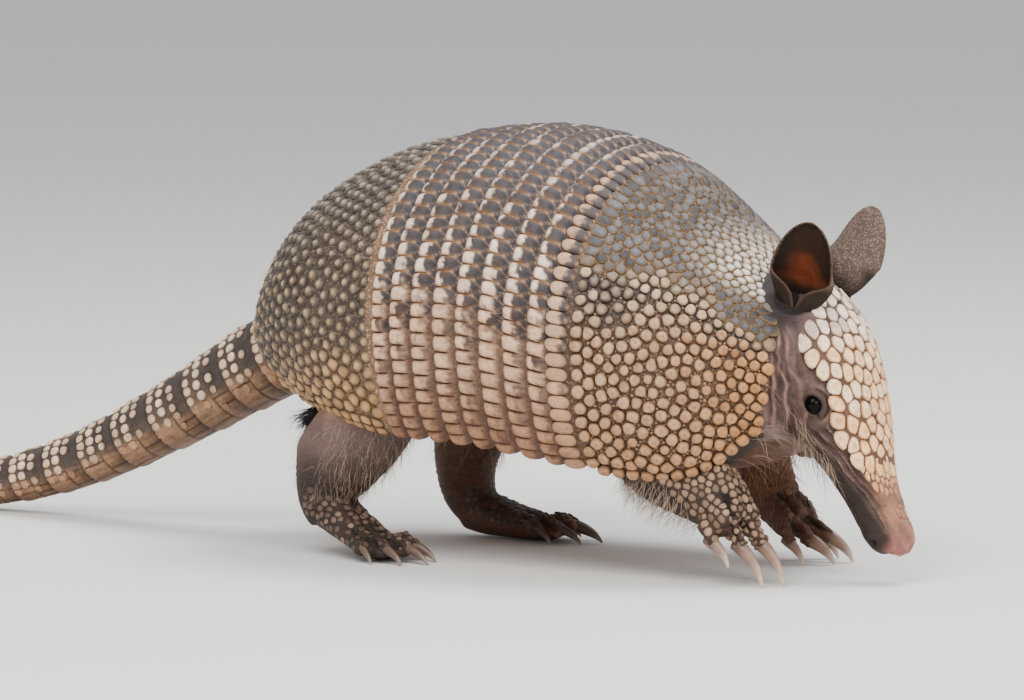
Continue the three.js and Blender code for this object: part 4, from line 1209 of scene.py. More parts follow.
# palm: ahead, height, across, tall; toes: across, spread, ahead, height, girth, claw, tip height
walkingHand = {
    "palm": ((-6, 35, 11, 10), (0, 29.5, 13.5, 10), (5, 24, 14.5, 8.5)),
    "knuckle": (2, 25),
    "toes": (
        (11.5, 8, 5, 17, 4, 9, 5), (4.5, 2, 11, 16.5, 4.9, 12.5, -0.2),
        (-4.5, -2, 7.5, 15.5, 5, 12.5, -0.2), (-11.5, -10, -2, 17.5, 4.2, 10.5, 8),
    ),
    "clawRadius": 4.4,
}
restingHand = {
    "palm": ((-7, 25, 11, 9), (-1, 20, 13.5, 9.5), (4, 15.5, 14.5, 8.5)),
    "knuckle": (2, 15),
    "toes": (
        (11, 10, 5, 9, 4, 9, -0.2), (4, 2, 10, 9, 4.8, 14, -0.2), (-5, -6, 13, 10, 4.9, 13, -0.2),
        (-12, -14, 5, 10, 4.2, 10, -0.2),
    ),
    "clawRadius": 4.2,
}
hindfoot = {
    "palm": ((-11, 10, 8, 8), (0, 9.5, 11, 9.5), (14, 7, 13, 7.5), (26, 5.4, 13.5, 6), (34, 4.6, 12, 5)),
    "knuckle": (27, 6),
    "toes": (
        (12, 15, 31, 5.2, 4, 8.5, -0.2), (6.6, 7, 39, 5.2, 4.5, 12, -0.2), (0, 0, 42, 5.2, 4.7, 14, -0.2),
        (-6.6, -7, 38, 5.2, 4.5, 12, -0.2), (-12, -15, 29, 5.2, 4, 8.5, -0.2),
    ),
    "clawRadius": 3.6,
}
# shape, x, y, heading in degrees, side of the inner toe, lift of the heel
feet = {
    "forefoot_right": (walkingHand, 134, -41, 0, 1, 0),
    "forefoot_left": (restingHand, 112, 40, 3, -1, 0),
    "hindfoot_right": (hindfoot, -57, -50, -10, 1, 12),
    "hindfoot_left": (hindfoot, -42, 41, 5, -1, 0),
}
shortestToe = 4


def footSpot(foot, ahead, across, height):
    _, x, y, turn, inner, _ = feet[foot]
    turn = math.radians(turn)
    forward = np.array((math.cos(turn), math.sin(turn), 0))
    inwards = np.array((-math.sin(turn), math.cos(turn), 0)) * inner
    return np.array((x, y, height)) + forward * ahead + inwards * across, forward, inwards


def toePlaces(foot, toe):
    across, spread, ahead, height = toe[:4]
    knuckleAhead, knuckleHeight = feet[foot][0]["knuckle"]
    root, forward, inwards = footSpot(foot, min(knuckleAhead, ahead - shortestToe), across, knuckleHeight)
    heading = forward * math.cos(math.radians(spread)) + inwards * math.sin(math.radians(spread))
    end = footSpot(foot, knuckleAhead, across, height)[0] + heading * (ahead - knuckleAhead)
    return heading, root, end


def limbTube(path, steps, facets, grow):
    rows = np.linspace(0, len(path) - 1, steps)
    middle, heading, sideways, upright = tubeFrames(path, rows)
    angle = turnsOf(facets)
    across = (middle[:, 3] + grow)[:, None] * np.cos(angle)
    along = (middle[:, 4] + grow)[:, None] * np.sin(angle)
    offsets = sideways[:, None] * across[..., None] + upright[:, None] * along[..., None]
    return closedTube(middle[:, None, :3] + offsets)


def footParts(foot, grow):
    shape, *_, lift = feet[foot]
    reach = shape["knuckle"][0] - shape["palm"][0][0]
    path = []
    for ahead, height, across, tall in shape["palm"]:
        raised = height + lift * max((shape["knuckle"][0] - ahead) / reach, 0)
        path.append((*footSpot(foot, ahead, 0, raised)[0], across, tall))
    hand = foot.startswith("fore")
    parts = [limbTube(np.array(path), 16, 28, grow)]
    for toe in shape["toes"]:
        girth = toe[4] * (0.74 if hand else 0.9)
        heading, root, end = toePlaces(foot, toe)
        end = end + heading * (2.4 if hand else 0)
        middle = root + (end - root) * 0.55 + np.array((0, 0, 1.5))
        cap = end + heading * girth * 0.5 - np.array((0, 0, 1.0))
        knee = root + (end - root) * 0.8 + np.array((0, 0, 0.9))
        path = np.array([
            (*root, girth, girth), (*middle, girth + 0.4, girth + 0.7), (*knee, girth - 0.2, girth),
            (*end, girth + 0.4, girth + 0.3), (*cap, girth * 0.8, girth * 0.75),
        ])
        parts.append(limbTube(path, 16, 18, grow))
    return parts


# Skin: head, neck, trunk and limbs as one surface, remeshed from overlapping closed forms.
skin = {
    "inset": -0.45,
    "underShell": 4.8,
    "voxel": 0.0013,
    "neck": ((112, 0, 88, 42, 42), (132, 0, 88, 38, 37), (146, 0, 87, 34, 32), (156, 0, 84, 26, 26)),
    # place across, lean, width, strength
    "neckRidges": ((103.2, 0.03, 0.8, 1.0), (105.9, 0.14, 0.65, 0.8), (108.2, 0.3, 0.8, 0.35)),
    "hiddenKept": 0.12,
    # the crease colour is painted shade in folds, the mouth line, nostrils, neck valleys and the ear
    # notches, and also a wart's own dark colour
    **toned(
        face=(90, 70, 64), faceDark=(56, 40, 35), neckTone=(136, 110, 107), ridge=(190, 154, 140),
        rawRidge=(214, 168, 154), crease=(58, 38, 32), lid=(46, 34, 32), nape=(38, 32, 31),
        snoutUnder=(42, 30, 26), snoutTop=(150, 106, 84), nose=(160, 102, 93), throat=(92, 54, 28),
        belly=(140, 106, 88), foreleg=(54, 39, 30), forelegFar=(110, 66, 38), thigh=(112, 91, 84),
        shin=(54, 39, 32), farHind=(92, 60, 42), hand=(84, 60, 49),
    ),
}
eye = {"at": 42, "turn": math.radians(86), "radius": 4.0, "sunk": 1.75}


def trunkForm():
    row, share = gridOf(np.linspace(0.12, 8.86, 40), np.linspace(-1, 1, 41))
    point, outwards, _ = shellFrame(row, share)
    over = point - outwards * skin["underShell"]
    t = np.linspace(0, 1, 12)[1:-1]
    right, left = over[:, :1], over[:, -1:]
    under = left + (right - left) * t[None, :, None]
    under[..., 2] -= 4 * np.sin(t * math.pi)
    rings = np.concatenate([over, under], 1)
    rump, chest = np.array((-104, 0, 78.0)), np.array((116, 0, 78.0))
    first = [rings[:1] + (rump - rings[:1]) * s for s in (0.62, 0.3)]
    return closedTube(np.concatenate([*first, rings, rings[-1:] + (chest - rings[-1:]) * 0.4]))


def headForm():
    at = np.concatenate([[-8, -6], np.linspace(-3, 100, 44), [102.5, 104.5, 106, 107.2]])
    at, turn = gridOf(at, turnsOf(56))
    return closedTube(headPoint(at, turn, skin["inset"]))


def headPlaces(points):
    # at along the head's axis and turn round it
    away = points - skull["back"]
    at = away @ headAxis
    up, left = away @ headUp, away[..., 1]
    section = smoothAlong(headSections, headRows(np.clip(at, -8, 107.5)))
    _, high, low, halfWidth = np.moveaxis(section, -1, 0)
    return at, np.arctan2(left / halfWidth, up / np.where(up > 0, high, low))


def headUpOf(points):
    return (points - skull["back"]) @ headUp


def ridged(x):
    # rounded folds with narrow valleys, from -1 to 1
    return 1 - 2 * np.abs(np.sin(np.asarray(x) * math.pi)) ** 0.6


def pit(x, y, size):
    return np.exp(-((x**2 + y**2) / size**2))


def faceFolds(points):
    # how far each point of the head moves out, with its tone
    at, turn = headPlaces(points)
    reach, top = np.abs(turn), np.cos(turn)
    side = np.where(turn < 0, -1.0, 1.0)
    socket = headPoint(np.array(eye["at"]), np.array(eye["turn"]))
    socket = socket * np.array((1, 0, 1)) + np.stack([0 * side, side * abs(float(socket[1])), 0 * side], -1)
    away = points - socket
    along, above = away @ headAxis, away @ headUp
    d = np.sqrt((along / 1.04) ** 2 + (above / 0.96) ** 2)
    front = np.arctan2(above, along)
    onHead = ease(-4, 6, at) * ease(0.2, 0.5, reach) * (np.abs(away[..., 1]) < 12)
    # eye socket and lids, with painted shade round the socket and in the fold above the eye, and painted
    # highlights on the lower lid rim and the bulge above the fold
    lift = -3.4 * ease(3.15, 2.45, d)
    upperFold = ease(-0.4, 0.4, front) * ease(2.9, 2.2, front)
    lift = lift + (0.55 + 0.6 * upperFold) * bell(d, 3.95, 0.62) + 0.3 * upperFold * bell(d, 5.4, 0.9)
    lift = lift - 0.95 * bell(d, 6.4, 0.5) * upperFold + 0.6 * bell(d, 7.5, 0.75) * upperFold
    lift = lift - 0.5 * bell(d, 8.7, 0.5) * upperFold * ease(1.8, 1.0, front)
    lift = lift - 0.45 * bell(d, 5.6, 0.4) * ease(-0.4, -1.0, front)
    lift = lift * onHead
    corner = ease(3.0, 4.2, along) * ease(7.2, 5.2, along + np.abs(above + 0.12 * along) * 2.2) * onHead
    lowerRim = bell(d, 4.5, 0.3) * ease(-0.3, -0.8, front) * ease(-2.6, -1.9, front)
    lift = lift - 0.7 * corner
    tone = mix(skin["face"], skin["faceDark"], 0.35 * (ease(8.5, 4.6, d) * onHead))
    tone = mix(tone, skin["crease"] * 0.7, 0.9 * bell(d, 6.4, 0.55) * upperFold * onHead)
    tone = mix(tone, skin["lid"], ease(4.7, 4.0, d + 0.6 * ease(0.8, 0, np.abs(front))) * onHead)
    tone = mix(tone, skin["lid"] * 0.8, corner)
    tone = mix(tone, skin["ridge"], 0.4 * lowerRim * onHead)
    tone = mix(tone, skin["ridge"], 0.28 * bell(d, 7.5, 0.8) * upperFold * onHead)
    # diagonal folds from the cheek along the snout, pale on their crests as painted highlight and dark in
    # their valleys as painted shade
    across = np.degrees(reach) - 100 + 1.25 * (at - 52)
    wave = ridged((across + 6 * cloud(points, 11, 41) + 2 * cloud(points, 3.5, 42)) / 15)
    folds = ease(-26, -18, across) * ease(32, 20, across) * ease(45, 52, at) * ease(100, 92, at)
    folds = folds * ease(8, 12, d) * (0.5 + 0.5 * ease(-0.5, 0.4, cloud(points, 8, 43)))
    lift = lift + 0.9 * wave * folds
    tone = mix(tone, skin["ridge"], 0.75 * ease(0.3, 0.9, wave + 0.3 * cloud(points, 2.2, 49)) * folds)
    tone = mix(tone, skin["crease"], 0.85 * ease(-0.1, -0.7, wave) * folds)
    # mouth line, painted dark as shade in its groove, and the darker smooth lower side of the snout
    under = ease(12, 34, across + 6 * cloud(points, 6, 46)) * ease(44, 66, at)
    tone = mix(tone, skin["snoutUnder"], under * 0.92)
    lip = bell(reach, math.radians(128) - 0.003 * (at - 60), 0.035) * ease(56, 64, at) * ease(104, 98, at)
    lift = lift - 0.7 * lip
    tone = mix(tone, skin["crease"] * 0.7, 0.8 * lip)
    # snout top, nose and nostrils; the nose is lighter on top as painted highlight and darker below as
    # painted shade, and the nostrils are painted dark inside as shade
    topper = ease(62, 80, at) * ease(math.radians(72), math.radians(44), reach)
    tone = mix(tone, skin["snoutTop"], topper * (0.7 + 0.3 * cloud(points, 4, 47)))
    pores = cloud(points, 1.6, 44)
    lift = lift + 0.16 * pores * topper + 0.9 * ease(64, 78, at) * ease(102, 88, at) * ease(0.2, 0.9, top)
    nose = ease(101.5, 108, at + 6 * top + 1.5 * cloud(points, 4, 48)) * ease(-0.75, -0.1, top)
    streaks = stripes(at * 0.2, turn * 7, 0, 55)
    tone = shaded(tone, 1 + 0.22 * streaks * ease(60, 72, at) * ease(104, 96, at) * ease(0.1, 0.7, top))
    noseTone = shaded(skin["nose"], 0.55 + 0.45 * ease(-0.6, 0.5, top + 0.3 * pores))
    tone = mix(tone, noseTone, nose * 0.92)
    lift = lift + 0.9 * bell(at, 101, 3.4) * ease(-0.2, 0.8, top) - 0.35 * bell(at, 94, 1.8)
    around = reach - math.radians(118)
    nostril = np.exp(-(((at - 101.5) / 1.7) ** 2) - (around / 0.24) ** 2)
    lift = lift - 2.2 * nostril + 0.5 * np.exp(-(((at - 99) / 1.6) ** 2) - (around / 0.4) ** 2)
    tone = mix(tone, skin["crease"] * 0.4, nostril)
    # a wart on the cheek, then fine wrinkles, lighter where they rise and darker where they sink as painted
    # light and shade
    tone = mix(tone, skin["crease"] * 0.8, pit(along - 10.5, above + 5.0, 1.3) * onHead)
    lift = lift + 0.5 * pit(along - 10.5, above + 5.0, 2.2) * onHead
    wrinkle = cloud(points @ np.stack([headAxis * 0.35, headLeft, headUp]).T, 1.5, 45)
    rumpled = wrinkle * ease(5, 15, at) * ease(4.8, 7, d) * ease(1.15, 0.9, under * 0.6 + 0.5)
    return lift + 0.2 * rumpled, shaded(tone, 1 + 0.34 * rumpled + 0.12 * cloud(points, 4, 50)), at, reach


def neckFolds(points):
    # pale upright ridges in the crease between the shoulder shield and the cheek
    x, y, z = points.T
    across = 0.82 * x - 0.57 * np.abs(y) + 2.1 * cloud(points, 9, 51) + 0.7 * cloud(points, 3.5, 56)
    down = 98.7 - z
    zone = ease(60, 70, z) * ease(106, 100, z) * ease(8, 16, np.abs(y))
    zone = zone * ease(138, 142, x) * ease(166, 160, x)
    crest = dip = 0
    for start, lean, width, strength in skin["neckRidges"]:
        away = across - start - lean * down
        strength = strength * (0.45 + 0.55 * ease(-0.5, 0.2, cloud(points * np.array((1, 1, 0.5)), 6, 57)))
        crest = crest + strength * bell(away, 0, width)
        dip = dip + strength * bell(away, 1.45, 0.6)
    dip = dip + bell(across - 0.04 * down, 101.9, 0.9)
    return (1.1 * crest - 0.8 * dip) * zone, crest * zone, dip * zone, zone


def buildSkin():
    parts = [trunkForm(), headForm(), limbTube(np.array(skin["neck"]), 20, 48, skin["inset"])]
    parts += [limbTube(np.array(path), 24, 40, skin["inset"]) for path in legs]
    for foot in feet:
        parts += footParts(foot, skin["inset"])
    points, faces, _ = joined(parts)
    body = makeMesh("skin", points, faces)
    bpy.ops.object.select_all(action="DESELECT")
    bpy.context.view_layer.objects.active = body
    body.select_set(True)
    remesh = body.modifiers.new("oneSurface", "REMESH")
    remesh.mode = "VOXEL"
    remesh.voxel_size = skin["voxel"]
    remesh.use_smooth_shade = True
    bpy.ops.object.modifier_apply(modifier="oneSurface")
    soften = body.modifiers.new("soften", "SMOOTH")
    soften.factor, soften.iterations = 0.5, 5
    bpy.ops.object.modifier_apply(modifier="soften")
    print("skin remeshed:", len(body.data.polygons))

    p = pointsOf(body)
    # few faces where the armour hides the skin, more on the head
    hidden = (p[:, 2] > 66) & (p[:, 0] < 112) & (p[:, 0] > -92)
    chooseVertices(body, hidden)
    bpy.ops.object.mode_set(mode="EDIT")
    bpy.ops.mesh.select_mode(type="VERT")
    bpy.ops.mesh.decimate(ratio=skin["hiddenKept"])
    bpy.ops.object.mode_set(mode="OBJECT")
    p = pointsOf(body)
    at, turn = headPlaces(p)
    chooseVertices(body, (at > 2) & (p[:, 0] > 138) & (np.abs(turn) > math.radians(50)))
    bpy.ops.object.mode_set(mode="EDIT")
    bpy.ops.mesh.subdivide(number_cuts=1)
    bpy.ops.object.mode_set(mode="OBJECT")
    print("skin refined:", len(body.data.polygons))
    shapeSkin(body)
    return body


def tuckUnder(points, chosen):
    # keeps the upper arms below the shoulder shield, letting go past its rim
    row, share = (a.ravel() for a in gridOf(np.linspace(7.2, 8.97, 60), np.linspace(0.5, 0.96, 56)))
    spots, outwards, _ = shellFrame(np.tile(row, 2), np.concatenate([share, -share]))
    outwards = unit(outwards * np.array((1, 1, 0)))
    tree = treeOf(spots)
    chosen = np.flatnonzero(chosen)
    nearest = np.array([tree.find(points[i])[1] for i in chosen])
    away = points[chosen] - spots[nearest]
    above = np.einsum("ij,ij->i", away, outwards[nearest])
    along = np.linalg.norm(away - outwards[nearest] * above[:, None], axis=1)
    push = np.maximum(above + 3.6 - 0.8 * np.maximum(along - 2.5, 0), 0)
    points[chosen] -= outwards[nearest] * push[:, None]


def toeGrooves(points):
    # 1 along the clefts between neighbouring toes, seen from above
    cleft = np.zeros(len(points))
    for shape, x, y, turn, inner, _ in feet.values():
        forward = np.array((math.cos(math.radians(turn)), math.sin(math.radians(turn))))
        inwards = np.array((-forward[1], forward[0])) * inner
        local = points[:, :2] - np.array((x, y))
        ahead, across = local @ forward, local @ inwards
        knuckle, knuckleHeight = shape["knuckle"]
        near = (np.abs(across) < 22) * (points[:, 2] < knuckleHeight + 14)
        near = near * ease(knuckle - 9, knuckle, ahead)
        for first, second in zip(shape["toes"][:-1], shape["toes"][1:]):
            run = np.maximum(ahead - knuckle, 0)
            middle = sum(toe[0] + math.tan(math.radians(toe[1])) * run for toe in (first, second)) / 2
            cleft = np.maximum(cleft, bell(across - middle, 0, 1.4) * near)
    return cleft


def chooseVertices(piece, chosen):
    bpy.ops.object.mode_set(mode="EDIT")
    bpy.ops.mesh.select_mode(type="VERT")
    bpy.ops.mesh.select_all(action="DESELECT")
    bpy.ops.object.mode_set(mode="OBJECT")
    piece.data.vertices.foreach_set("select", chosen)
    edges = np.empty(len(piece.data.edges) * 2, np.int32)
    piece.data.edges.foreach_get("vertices", edges)
    piece.data.edges.foreach_set("select", chosen[edges.reshape(-1, 2)].all(1))
    loops = np.empty(len(piece.data.loops), np.int32)
    piece.data.loops.foreach_get("vertex_index", loops)
    starts = np.empty(len(piece.data.polygons), np.int32)
    piece.data.polygons.foreach_get("loop_start", starts)
    whole = np.minimum.reduceat(chosen[loops].astype(np.int8), starts) > 0
    piece.data.polygons.foreach_set("select", whole)


def shapeSkin(body):
    p, outward = pointsOf(body), normalsOf(body)
    x, y, z = p.T
    wide = np.abs(y)
    lift, tone, at, reach = faceFolds(p)
    headZone = ease(0, 10, at) * ease(134, 140, x)
    fold, crest, dip, zone = neckFolds(p)
    lift = lift * headZone + fold
    tone = mix(skin["neckTone"], tone, ease(2, 16, at) * ease(141, 146, x) * ease(1, 0.6, zone * 0.6))
    tone = mix(tone, skin["rawRidge"], np.clip(crest * (1.05 + 0.4 * cloud(p, 2.5, 53)), 0, 1))
    # painted shade in the valleys beside the ridges
    tone = mix(tone, skin["crease"], 0.75 * dip)
    # fine creases fan out below the ears, lighter on their rises and darker in their hollows as painted
    # light and shade; painted shade behind the ears and in the notch
    fan = stripes(0.82 * x - 0.57 * wide + 0.12 * z, z * 0.16, 0, 54, 1.25)
    fanZone = ease(72, 82, z) * ease(108, 102, z) * ease(12, 17, wide)
    fanZone = fanZone * ease(142, 146, x) * ease(38, 28, at)
    lift = lift + 0.45 * fan * fanZone
    tone = shaded(tone, 1 + 0.4 * fan * fanZone)
    fromEar = np.linalg.norm(np.stack([x - 145, wide - 19, (z - 107) * 0.65], -1), axis=1)
    fromEar = fromEar + 2.5 * cloud(p, 5, 52)
    behind = np.maximum(ease(14, 8, fromEar), ease(98, 106, z) * ease(158, 150, x))
    tone = mix(tone, skin["nape"] * 0.8, behind * 0.95)
    fromRoot = np.linalg.norm(np.stack([x - 150, wide - 18, z - 114.5 - 5 * (y > 0)], -1), axis=1)
    tone = mix(tone, skin["crease"] * 0.15, ease(8.6, 7.2, fromRoot))
    # the throat's own orange-brown, darkened as painted shadow under the shell rim and the head
    throat = ease(77, 66, z) * ease(104, 114, x) * ease(-24, -30, headUpOf(p))
    tone = mix(tone, skin["throat"], throat * 0.95)
    tone = mix(tone, skin["belly"], ease(122, 112, x) * ease(90, 78, z))
    # limbs, warmer on the far side; the near fore leg is darkened as painted shade
    near = ease(4, -4, y)
    fore = ease(66, 60, z) * ease(84, 92, x) * ease(17, 24, wide) * ease(170, 160, x)
    fore = np.where((at > 10) & (x > 140) & (wide < 27), 0, fore)
    foreTone = mix(skin["forelegFar"], skin["foreleg"], near)
    tone = mix(tone, mix(foreTone, skin["hand"], 0.6 * ease(34, 24, z)), fore)
    hind = ease(62, 54, z) * ease(0, -10, x) * ease(14, 22, wide)
    shin = ease(56, 24, z + 10 * cloud(p, 12, 61) + 3 * cloud(p, 4, 67))
    tone = mix(tone, mix(skin["farHind"], mix(skin["thigh"], skin["shin"], shin), near), hind)
    limb = np.maximum(fore, hind)
    # the clefts between the toes sink and are darkened as painted shade
    cleft = toeGrooves(p) * ease(-0.2, 0.3, outward[:, 2] + 0.5 * outward[:, 0])
    lift = lift - 2.2 * cleft
    tone = shaded(tone, 1 - 0.8 * cleft)
    crinkle = ridged(z / 3.1 + 0.8 * cloud(p, 9, 62) + 0.25 * cloud(p, 3, 63))
    ankle = ease(46, 34, z) * ease(8, 14, z)
    lift = lift + 0.32 * crinkle * ankle * limb * ease(-0.2, 0.4, cloud(p, 11, 64) + 0.3)
    # painted shade in the hollows of the ankle wrinkles
    tone = shaded(tone, 1 - 0.3 * ease(0.2, -0.7, crinkle) * ankle * limb)
    tone = shaded(tone, 1 + 0.14 * cloud(p, 6, 65) + 0.1 * cloud(p, 2, 66))
    # the top of the nose reaches on past its underside
    pad = ease(90, 105, at) * ease(-0.5, 0.8, np.cos(reach)) * headZone
    p = p + outward * lift[..., None] + headAxis * (2.8 * pad)[:, None] + headUp * (0.7 * pad)[:, None]
    tuckUnder(p, (x > 84) & (x < 144) & (wide > 27) & (z > 32) & (z < 76))
    p[:, 0] += 9 * ease(44, 66, z) * ease(-50, -62, x) * ease(80, 72, z)
    p[:, 2] = np.maximum(p[:, 2], 0)
    moveTo(body, p)
    colour(body, tone, 0.12 + 0.25 * limb)


def skinMaterial(name, look):
    material, tree, shader = newMaterial(name, look["roughness"], look["specular"])
    place = addNode(tree, "ShaderNodeTexCoord").outputs["Object"]
    fine = noiseOn(tree, place, look["fine"], 5, 0.65)
    blotch = noiseOn(tree, place, look["blotch"], 6, 0.6)
    worn = ramp(tree, blotch, [(0.3, look["dark"]), (0.7, look["light"])])
    specks = ramp(tree, fine, [(0.3, 0.8), (0.55, 1.02), (0.75, 1.18)])
    tone = multiplied(tree, multiplied(tree, granulated(tree, place, look["granule"]), worn), specks)
    tree.links.new(tone, shader.inputs["Base Color"])
    shader.inputs["Subsurface Weight"].default_value = 0.06
    shader.inputs["Subsurface Radius"].default_value = (0.004, 0.0015, 0.001)
    valleys = ramp(tree, cracksOn(tree, place, look["crack"]), [(0.0, 0.0), (0.12, 0.85), (0.4, 1.0)])
    bumped(tree, shader, [(valleys, look["crackDepth"]), (fine, look["grain"])])
    return material


wrinkledSkin = skinMaterial("wrinkledSkin", {
    "roughness": 0.62, "specular": 0.35, "granule": 1.2, "blotch": 7.0, "fine": 0.9,
    "dark": 0.84, "light": 1.12, "crack": 1.5, "crackDepth": 0.13, "grain": 0.3,
})
fleshNodes = ["trunk", "head", "neck"]
for part in ("forefoot", "foreleg", "hindfoot", "hindleg"):
    fleshNodes += [f"{part}_{side}" for side in sides]
body = buildSkin()
finish(body, wrinkledSkin, "skin", *fleshNodes)
print("skin:", len(body.data.vertices), "points")

# Eyes: glossy balls set behind the lids.
eyeGloss, _, eyeShader = newMaterial("eyeGloss", 0.07, 0.09)
eyeShader.inputs["Base Color"].default_value = (0.002, 0.0016, 0.0016, 1)


def buildEye(side):
    centre = headPoint(np.array(eye["at"]), np.array(sides[side] * eye["turn"]), -eye["sunk"])
    bpy.ops.object.select_all(action="DESELECT")
    bpy.ops.mesh.primitive_uv_sphere_add(
        segments=32, ring_count=20, radius=eye["radius"] / 1000,
        location=(centre + np.array((build["originX"], 0, 0))) / 1000,
    )
    ball = bpy.context.object
    ball.name = f"eye{side.capitalize()}"
    bpy.ops.object.shade_smooth()
    bpy.ops.object.transform_apply(location=True, rotation=True, scale=True)
    finish(ball, eyeGloss, "eye", f"eye_{side}")


# Ears: leaf-shaped cups rolled in to a notch at the base.
ears = {
    "right": (np.array((149.8, -18.5, 106.5)), np.array((161.6, -24, 144.6))),
    "left": (np.array((150.5, 18.5, 112)), np.array((163.5, 24, 148.6))),
}
ear = {
    "halfWidth": 12, "stalk": 4, "thickness": 1.4,
    "facing": (0.16, 0.95, -0.26),
    # place from root to tip, half arc in degrees; place, depth of the cup
    "arc": (
        (0, 174), (0.17, 174), (0.27, 167), (0.34, 153), (0.4, 128), (0.47, 94), (0.55, 68), (0.65, 52),
        (0.8, 36), (1.03, 26),
    ),
    "depth": ((0, 5.5), (0.2, 7.5), (0.4, 8), (0.65, 5.5), (1.03, 0.8)),
    **toned(
        inside=(42, 24, 14), rim=(30, 20, 14), deep=(102, 46, 20), flush=(92, 62, 50), back=(112, 96, 88),
        backDark=(62, 52, 50), edge=(110, 84, 66),
    ),
}


def earFacing(side):
    return np.array(ear["facing"]) * np.array((1, sides[side], 1))


def earSurface(side, v, u):
    root, tip = ears[side]
    lean = tip - root
    length = float(np.linalg.norm(lean))
    lean = lean / length
    facing = unit(earFacing(side) - lean * (earFacing(side) @ lean))
    width = np.cross(lean, facing) * sides[side] * -1
    leaf = np.maximum(1 - ((v - 0.56) / 0.47) ** 2, 0) ** np.where(v < 0.56, 0.9, 0.56)
    half = ear["halfWidth"] * leaf + ear["stalk"] * (1 - np.clip(v, 0, 1)) ** 2
    arc = np.radians(np.interp(v, *np.array(ear["arc"]).T))
    depth = np.interp(v, *np.array(ear["depth"]).T)
    angle = u * arc
    widest = np.sin(np.minimum(arc, math.pi / 2))
    across = half * np.where(arc < math.pi / 2, np.sin(angle) / widest, np.sin(angle))
    bowl = depth * (np.cos(angle) - np.cos(arc)) / (1 - np.cos(arc))
    # the top leans back and the rear edge waves a little
    bend = 1.4 * np.maximum(v - 0.6, 0) ** 1.5 * 6 + 0.5 * np.sin(v * 9) * u**2
    spine = root + lean * (v * length)[..., None]
    return spine + width * across[..., None] - facing * (bowl + bend * 0.4)[..., None]


def buildEar(side):
    rows = 46
    v = np.concatenate([np.linspace(0.0, 0.96, rows), [0.98, 0.995, 1.008, 1.018, 1.0245, 1.0285]])
    v, u = gridOf(v, np.linspace(-1, 1, 57))
    front = earSurface(side, v, u)
    out = unit(np.cross(np.gradient(front, axis=1), np.gradient(front, axis=0)))
    if out[20, 28] @ earFacing(side) < 0:
        out = -out
    out[rows:] = out[rows - 1]
    edge = np.maximum(np.abs(u), ease(0.96, 1.02, v))
    rim = np.maximum(np.abs(u), ease(0.9, 1.0, v))
    thick = ear["thickness"] * (1 - 0.6 * ease(0.75, 1.0, rim))
    ridge = 0.3 * cloud(front * np.array((1, 1, 0.35)), 2.2, 71) * (1 - rim**4)
    ridge = ridge + 1.1 * bell(u, 0.3 - 0.35 * v, 0.07) * ease(0.12, 0.24, v) * ease(0.56, 0.4, v)
    inner = front + out * ridge[..., None]
    outer = front - out * (thick + 0.35 * ease(0.7, 0.1, v))[..., None]
    # the orange middle of the cup is partly the ear's own colour and partly painted light shining through
    # the thin ear
    deep = np.exp(-((u * 1.5) ** 2 + ((v - 0.48) / 0.27) ** 2)) + 0.28 * cloud(front, 7, 72)
    tone = mix(ear["inside"], ear["flush"], ease(0.1, 0.5, u) * ease(0.5, 0.34, v) * 0.8)
    tone = mix(tone, ear["deep"], ease(0.35, 0.95, deep))
    border = np.where(u > 0, rim * 0.8, rim) + 0.12 * cloud(front, 4, 74)
    tone = mix(tone, ear["rim"], ease(0.45, 0.85, border))
    # painted shade, nearly black, deep in the base of the cup
    tone = mix(tone, ear["inside"] * 0.35, ease(0.38, 0.22, v))
    tone = mix(tone, ear["edge"], ease(0.97, 1.0, edge) * 0.4)
    lobe = ease(0.3, 0.6, np.abs(u)) * ease(0.5, 0.36, v)
    backTone = mix(ear["back"], ear["backDark"], ease(0.45, 0.1, v + 0.1 * cloud(front, 6, 73)))
    backTone = mix(mix(backTone, ear["rim"] * 1.3, 0.95 * lobe), ear["edge"], 0.5 * ease(0.94, 1.0, edge))
    parts = [closedPlate(inner, outer, tone, backTone)]
    grains = np.concatenate([np.full(v.size, 0.05), (0.8 - 0.7 * lobe).ravel()])
    setPiece(f"ear{side.capitalize()}", parts, grains, earSkin, "ear", f"ear_{side}")


earSkin = skinMaterial("earSkin", {
    "roughness": 0.66, "specular": 0.18, "granule": 1.0, "blotch": 5.0, "fine": 0.8,
    "dark": 0.86, "light": 1.1, "crack": 0.9, "crackDepth": 0.14, "grain": 0.15,
})

# Claws: curved horns, broad and pale grey at the base, thin and ivory at the tip.
claw = {
    "steps": 15, "facets": 18,
    "rooted": 1.8,  # how far the base is set back into the toe
    "bend": 1.35,
    "middle": paint(138, 110, 94),
    "tip": paint(196, 174, 154),
    # thickness, brightness, tone of the base
    "forefoot": (0.88, 1.0, paint(94, 72, 62)),
    "hindfoot": (0.76, 0.42, paint(84, 70, 64)),
}


